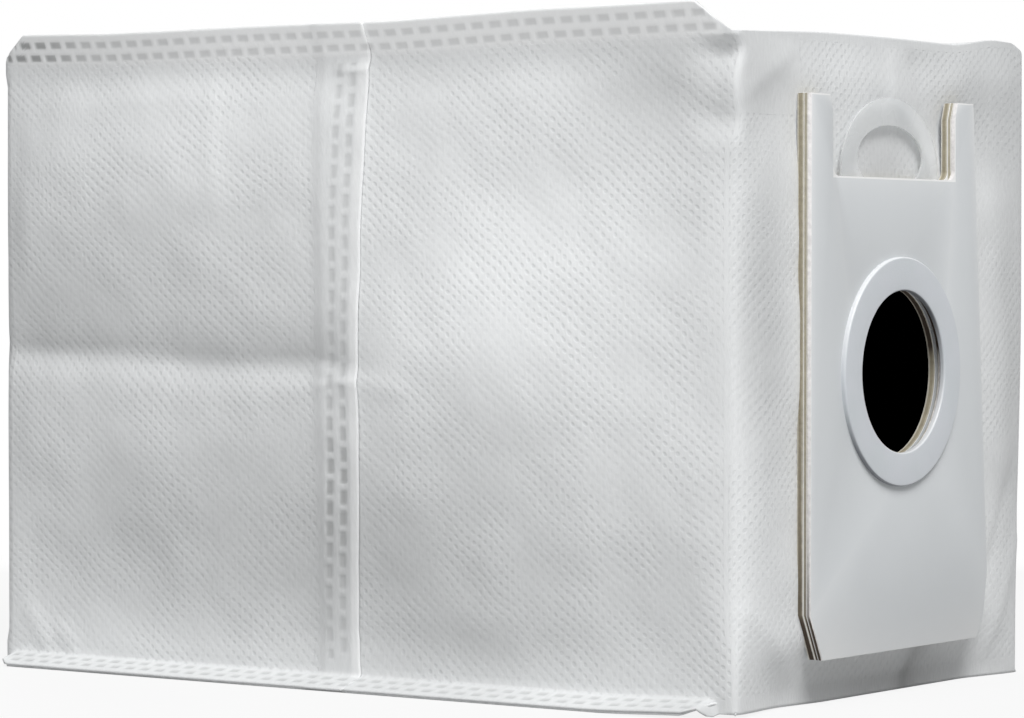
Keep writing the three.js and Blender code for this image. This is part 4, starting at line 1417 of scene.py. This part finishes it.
@dataclass
class Studio:
    """A plain pale floor, soft lamps, a white surround and the camera."""

    camera_place: tuple = (491.456, -683.119, 84.059)
    turn: float = 35.758
    pitch: float = -1.22
    lens: float = 138.33
    floor_radius: float = 420.0
    world_light: float = 0.22
    lamps: tuple = (
        ("key", (0.77, -0.555, 1.19), (0.0, 0.0, 0.06), 0.7, 18.4),
        ("near_fill", (0.030, -0.26, 0.105), (0.04, -0.055, 0.08), 0.13, 0.105),
        ("back_fill", (-0.66, 0.62, 0.80), (0.0, 0.0, 0.06), 0.6, 5.5),
    )

    def camera(self) -> None:
        """Makes the camera at the photograph's viewing angle."""
        data = bpy.data.cameras.new("camera")
        data.sensor_fit = "HORIZONTAL"
        data.sensor_width = 36.0
        data.lens = self.lens
        data.clip_start, data.clip_end = 0.05, 20.0
        camera = bpy.data.objects.new("camera", data)
        turn, pitch = math.radians(self.turn), math.radians(self.pitch)
        look = Vector((-math.sin(turn) * math.cos(pitch), math.cos(turn) * math.cos(pitch), math.sin(pitch)))
        camera.location = Vector(self.camera_place) * MM
        camera.rotation_mode = "QUATERNION"
        camera.rotation_quaternion = look.to_track_quat("-Z", "Y")
        bpy.context.scene.collection.objects.link(camera)
        bpy.context.scene.camera = camera

    def lamp(self, name: str, place: tuple, aim: tuple, size: float, power: float) -> None:
        """Adds a soft square lamp.

        Args:
            name: The lamp's name.
            place: Where it stands, in metres.
            aim: The point it faces, in metres.
            size: Its width, in metres.
            power: Its power, in watts.
        """
        data = bpy.data.lights.new(name, "AREA")
        data.size = size
        data.energy = power
        lamp = bpy.data.objects.new(name, data)
        lamp.location = place
        lamp.rotation_mode = "QUATERNION"
        lamp.rotation_quaternion = (Vector(aim) - Vector(place)).to_track_quat("-Z", "Y")
        bpy.context.scene.collection.objects.link(lamp)

    def floor(self) -> None:
        """Lays a round pale floor whose rim fades into the white surround."""
        mesh = bmesh.new()
        bmesh.ops.create_circle(mesh, cap_ends=True, segments=96, radius=self.floor_radius * MM)
        floor = object_from(mesh, "floor", [self.floor_finish()], smooth=False)

    def floor_finish(self) -> bpy.types.Material:
        """Makes the floor's material, which keeps a faint shadow.

        Returns:
            The material.
        """
        pen = NodeSketch("pale_floor")
        place = pen.node("ShaderNodeTexCoord").outputs["Object"]
        away = pen.node("ShaderNodeVectorMath", {"operation": "LENGTH"})
        pen.plug(away.inputs[0], place)
        grain = pen.span(pen.noise(place, 40.0, 3.0), 0.3, 0.7, 0.54, 0.56, False)
        tone = pen.node("ShaderNodeCombineXYZ", X=grain, Y=grain, Z=grain)
        matt = pen.node("ShaderNodeBsdfDiffuse", Color=tone.outputs[0])
        white = pen.node("ShaderNodeEmission", Color=(1.0, 1.0, 1.0, 1.0), Strength=1.0)
        rays = pen.node("ShaderNodeLightPath")
        seen = pen.sum("MAXIMUM", rays.outputs["Is Camera Ray"],
                       pen.sum("MAXIMUM", rays.outputs["Is Glossy Ray"], rays.outputs["Is Transmission Ray"]))
        far = pen.span(away.outputs["Value"], 0.1, 0.36)
        share = pen.sum("MULTIPLY", seen, pen.sum("MAXIMUM", far, 0.88))
        mixed = pen.node("ShaderNodeMixShader", Fac=share)
        pen.plug(mixed.inputs[1], matt.outputs[0])
        pen.plug(mixed.inputs[2], white.outputs[0])
        return pen.finish(mixed.outputs[0])

    def surround(self) -> None:
        """Makes the world: white where it is seen, and a plain soft light otherwise."""
        world = bpy.data.worlds.new("surround")
        world.use_nodes = True
        tree = world.node_tree
        tree.nodes.clear()
        rays = tree.nodes.new("ShaderNodeLightPath")
        seen, lit = tree.nodes.new("ShaderNodeBackground"), tree.nodes.new("ShaderNodeBackground")
        seen.inputs["Color"].default_value = (1.0, 1.0, 1.0, 1.0)
        seen.inputs["Strength"].default_value = 1.0
        lit.inputs["Color"].default_value = (0.97, 0.985, 1.0, 1.0)
        lit.inputs["Strength"].default_value = self.world_light
        bright = tree.nodes.new("ShaderNodeMath")
        bright.operation = "MAXIMUM"
        more = tree.nodes.new("ShaderNodeMath")
        more.operation = "MAXIMUM"
        mixed, output = tree.nodes.new("ShaderNodeMixShader"), tree.nodes.new("ShaderNodeOutputWorld")
        tree.links.new(rays.outputs["Is Camera Ray"], bright.inputs[0])
        tree.links.new(rays.outputs["Is Glossy Ray"], bright.inputs[1])
        tree.links.new(bright.outputs[0], more.inputs[0])
        tree.links.new(rays.outputs["Is Transmission Ray"], more.inputs[1])
        tree.links.new(more.outputs[0], mixed.inputs["Fac"])
        tree.links.new(lit.outputs[0], mixed.inputs[1])
        tree.links.new(seen.outputs[0], mixed.inputs[2])
        tree.links.new(mixed.outputs[0], output.inputs["Surface"])
        bpy.context.scene.world = world

    def build(self) -> None:
        """Sets up the whole studio."""
        self.camera()
        self.floor()
        self.surround()
        for lamp in self.lamps:
            self.lamp(*lamp)
        bpy.context.scene.view_settings.view_transform = "Standard"


def main() -> None:
    """Builds the bag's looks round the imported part."""
    logging.basicConfig(level=logging.INFO, format="%(name)s: %(message)s")
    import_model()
    shape = BagShape()
    cloth = ClothFinish().build("nonwoven_cloth")
    inside_shade = InsideShadeFinish().build("bag_inside_painted_shade")
    # The inside is coloured near black as painted shade
    finish = [cloth, inside_shade, cloth, cloth]

    wall = WallCloth(shape).build(finish)
    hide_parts("wall_sheet")
    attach(wall, "bag")
    LOG.info("%s has %d faces", wall.name, len(wall.data.polygons))

    for panel, name, node in ((Panel.TOP, "top_panel_cloth", "top_panel"),
                              (Panel.BASE, "bottom_panel_cloth", "bottom_panel")):
        piece = PanelCloth(shape, panel).build(name, finish)
        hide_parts(node)
        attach(piece, "bag")
        LOG.info("%s has %d faces", piece.name, len(piece.data.polygons))

    for piece in [*MountingCard().build(), PullShutter().build(), SealRing().build()]:
        LOG.info("%s has %d faces", piece.name, len(piece.data.polygons))
    Studio().build()


if __name__ == "__main__":
    main()
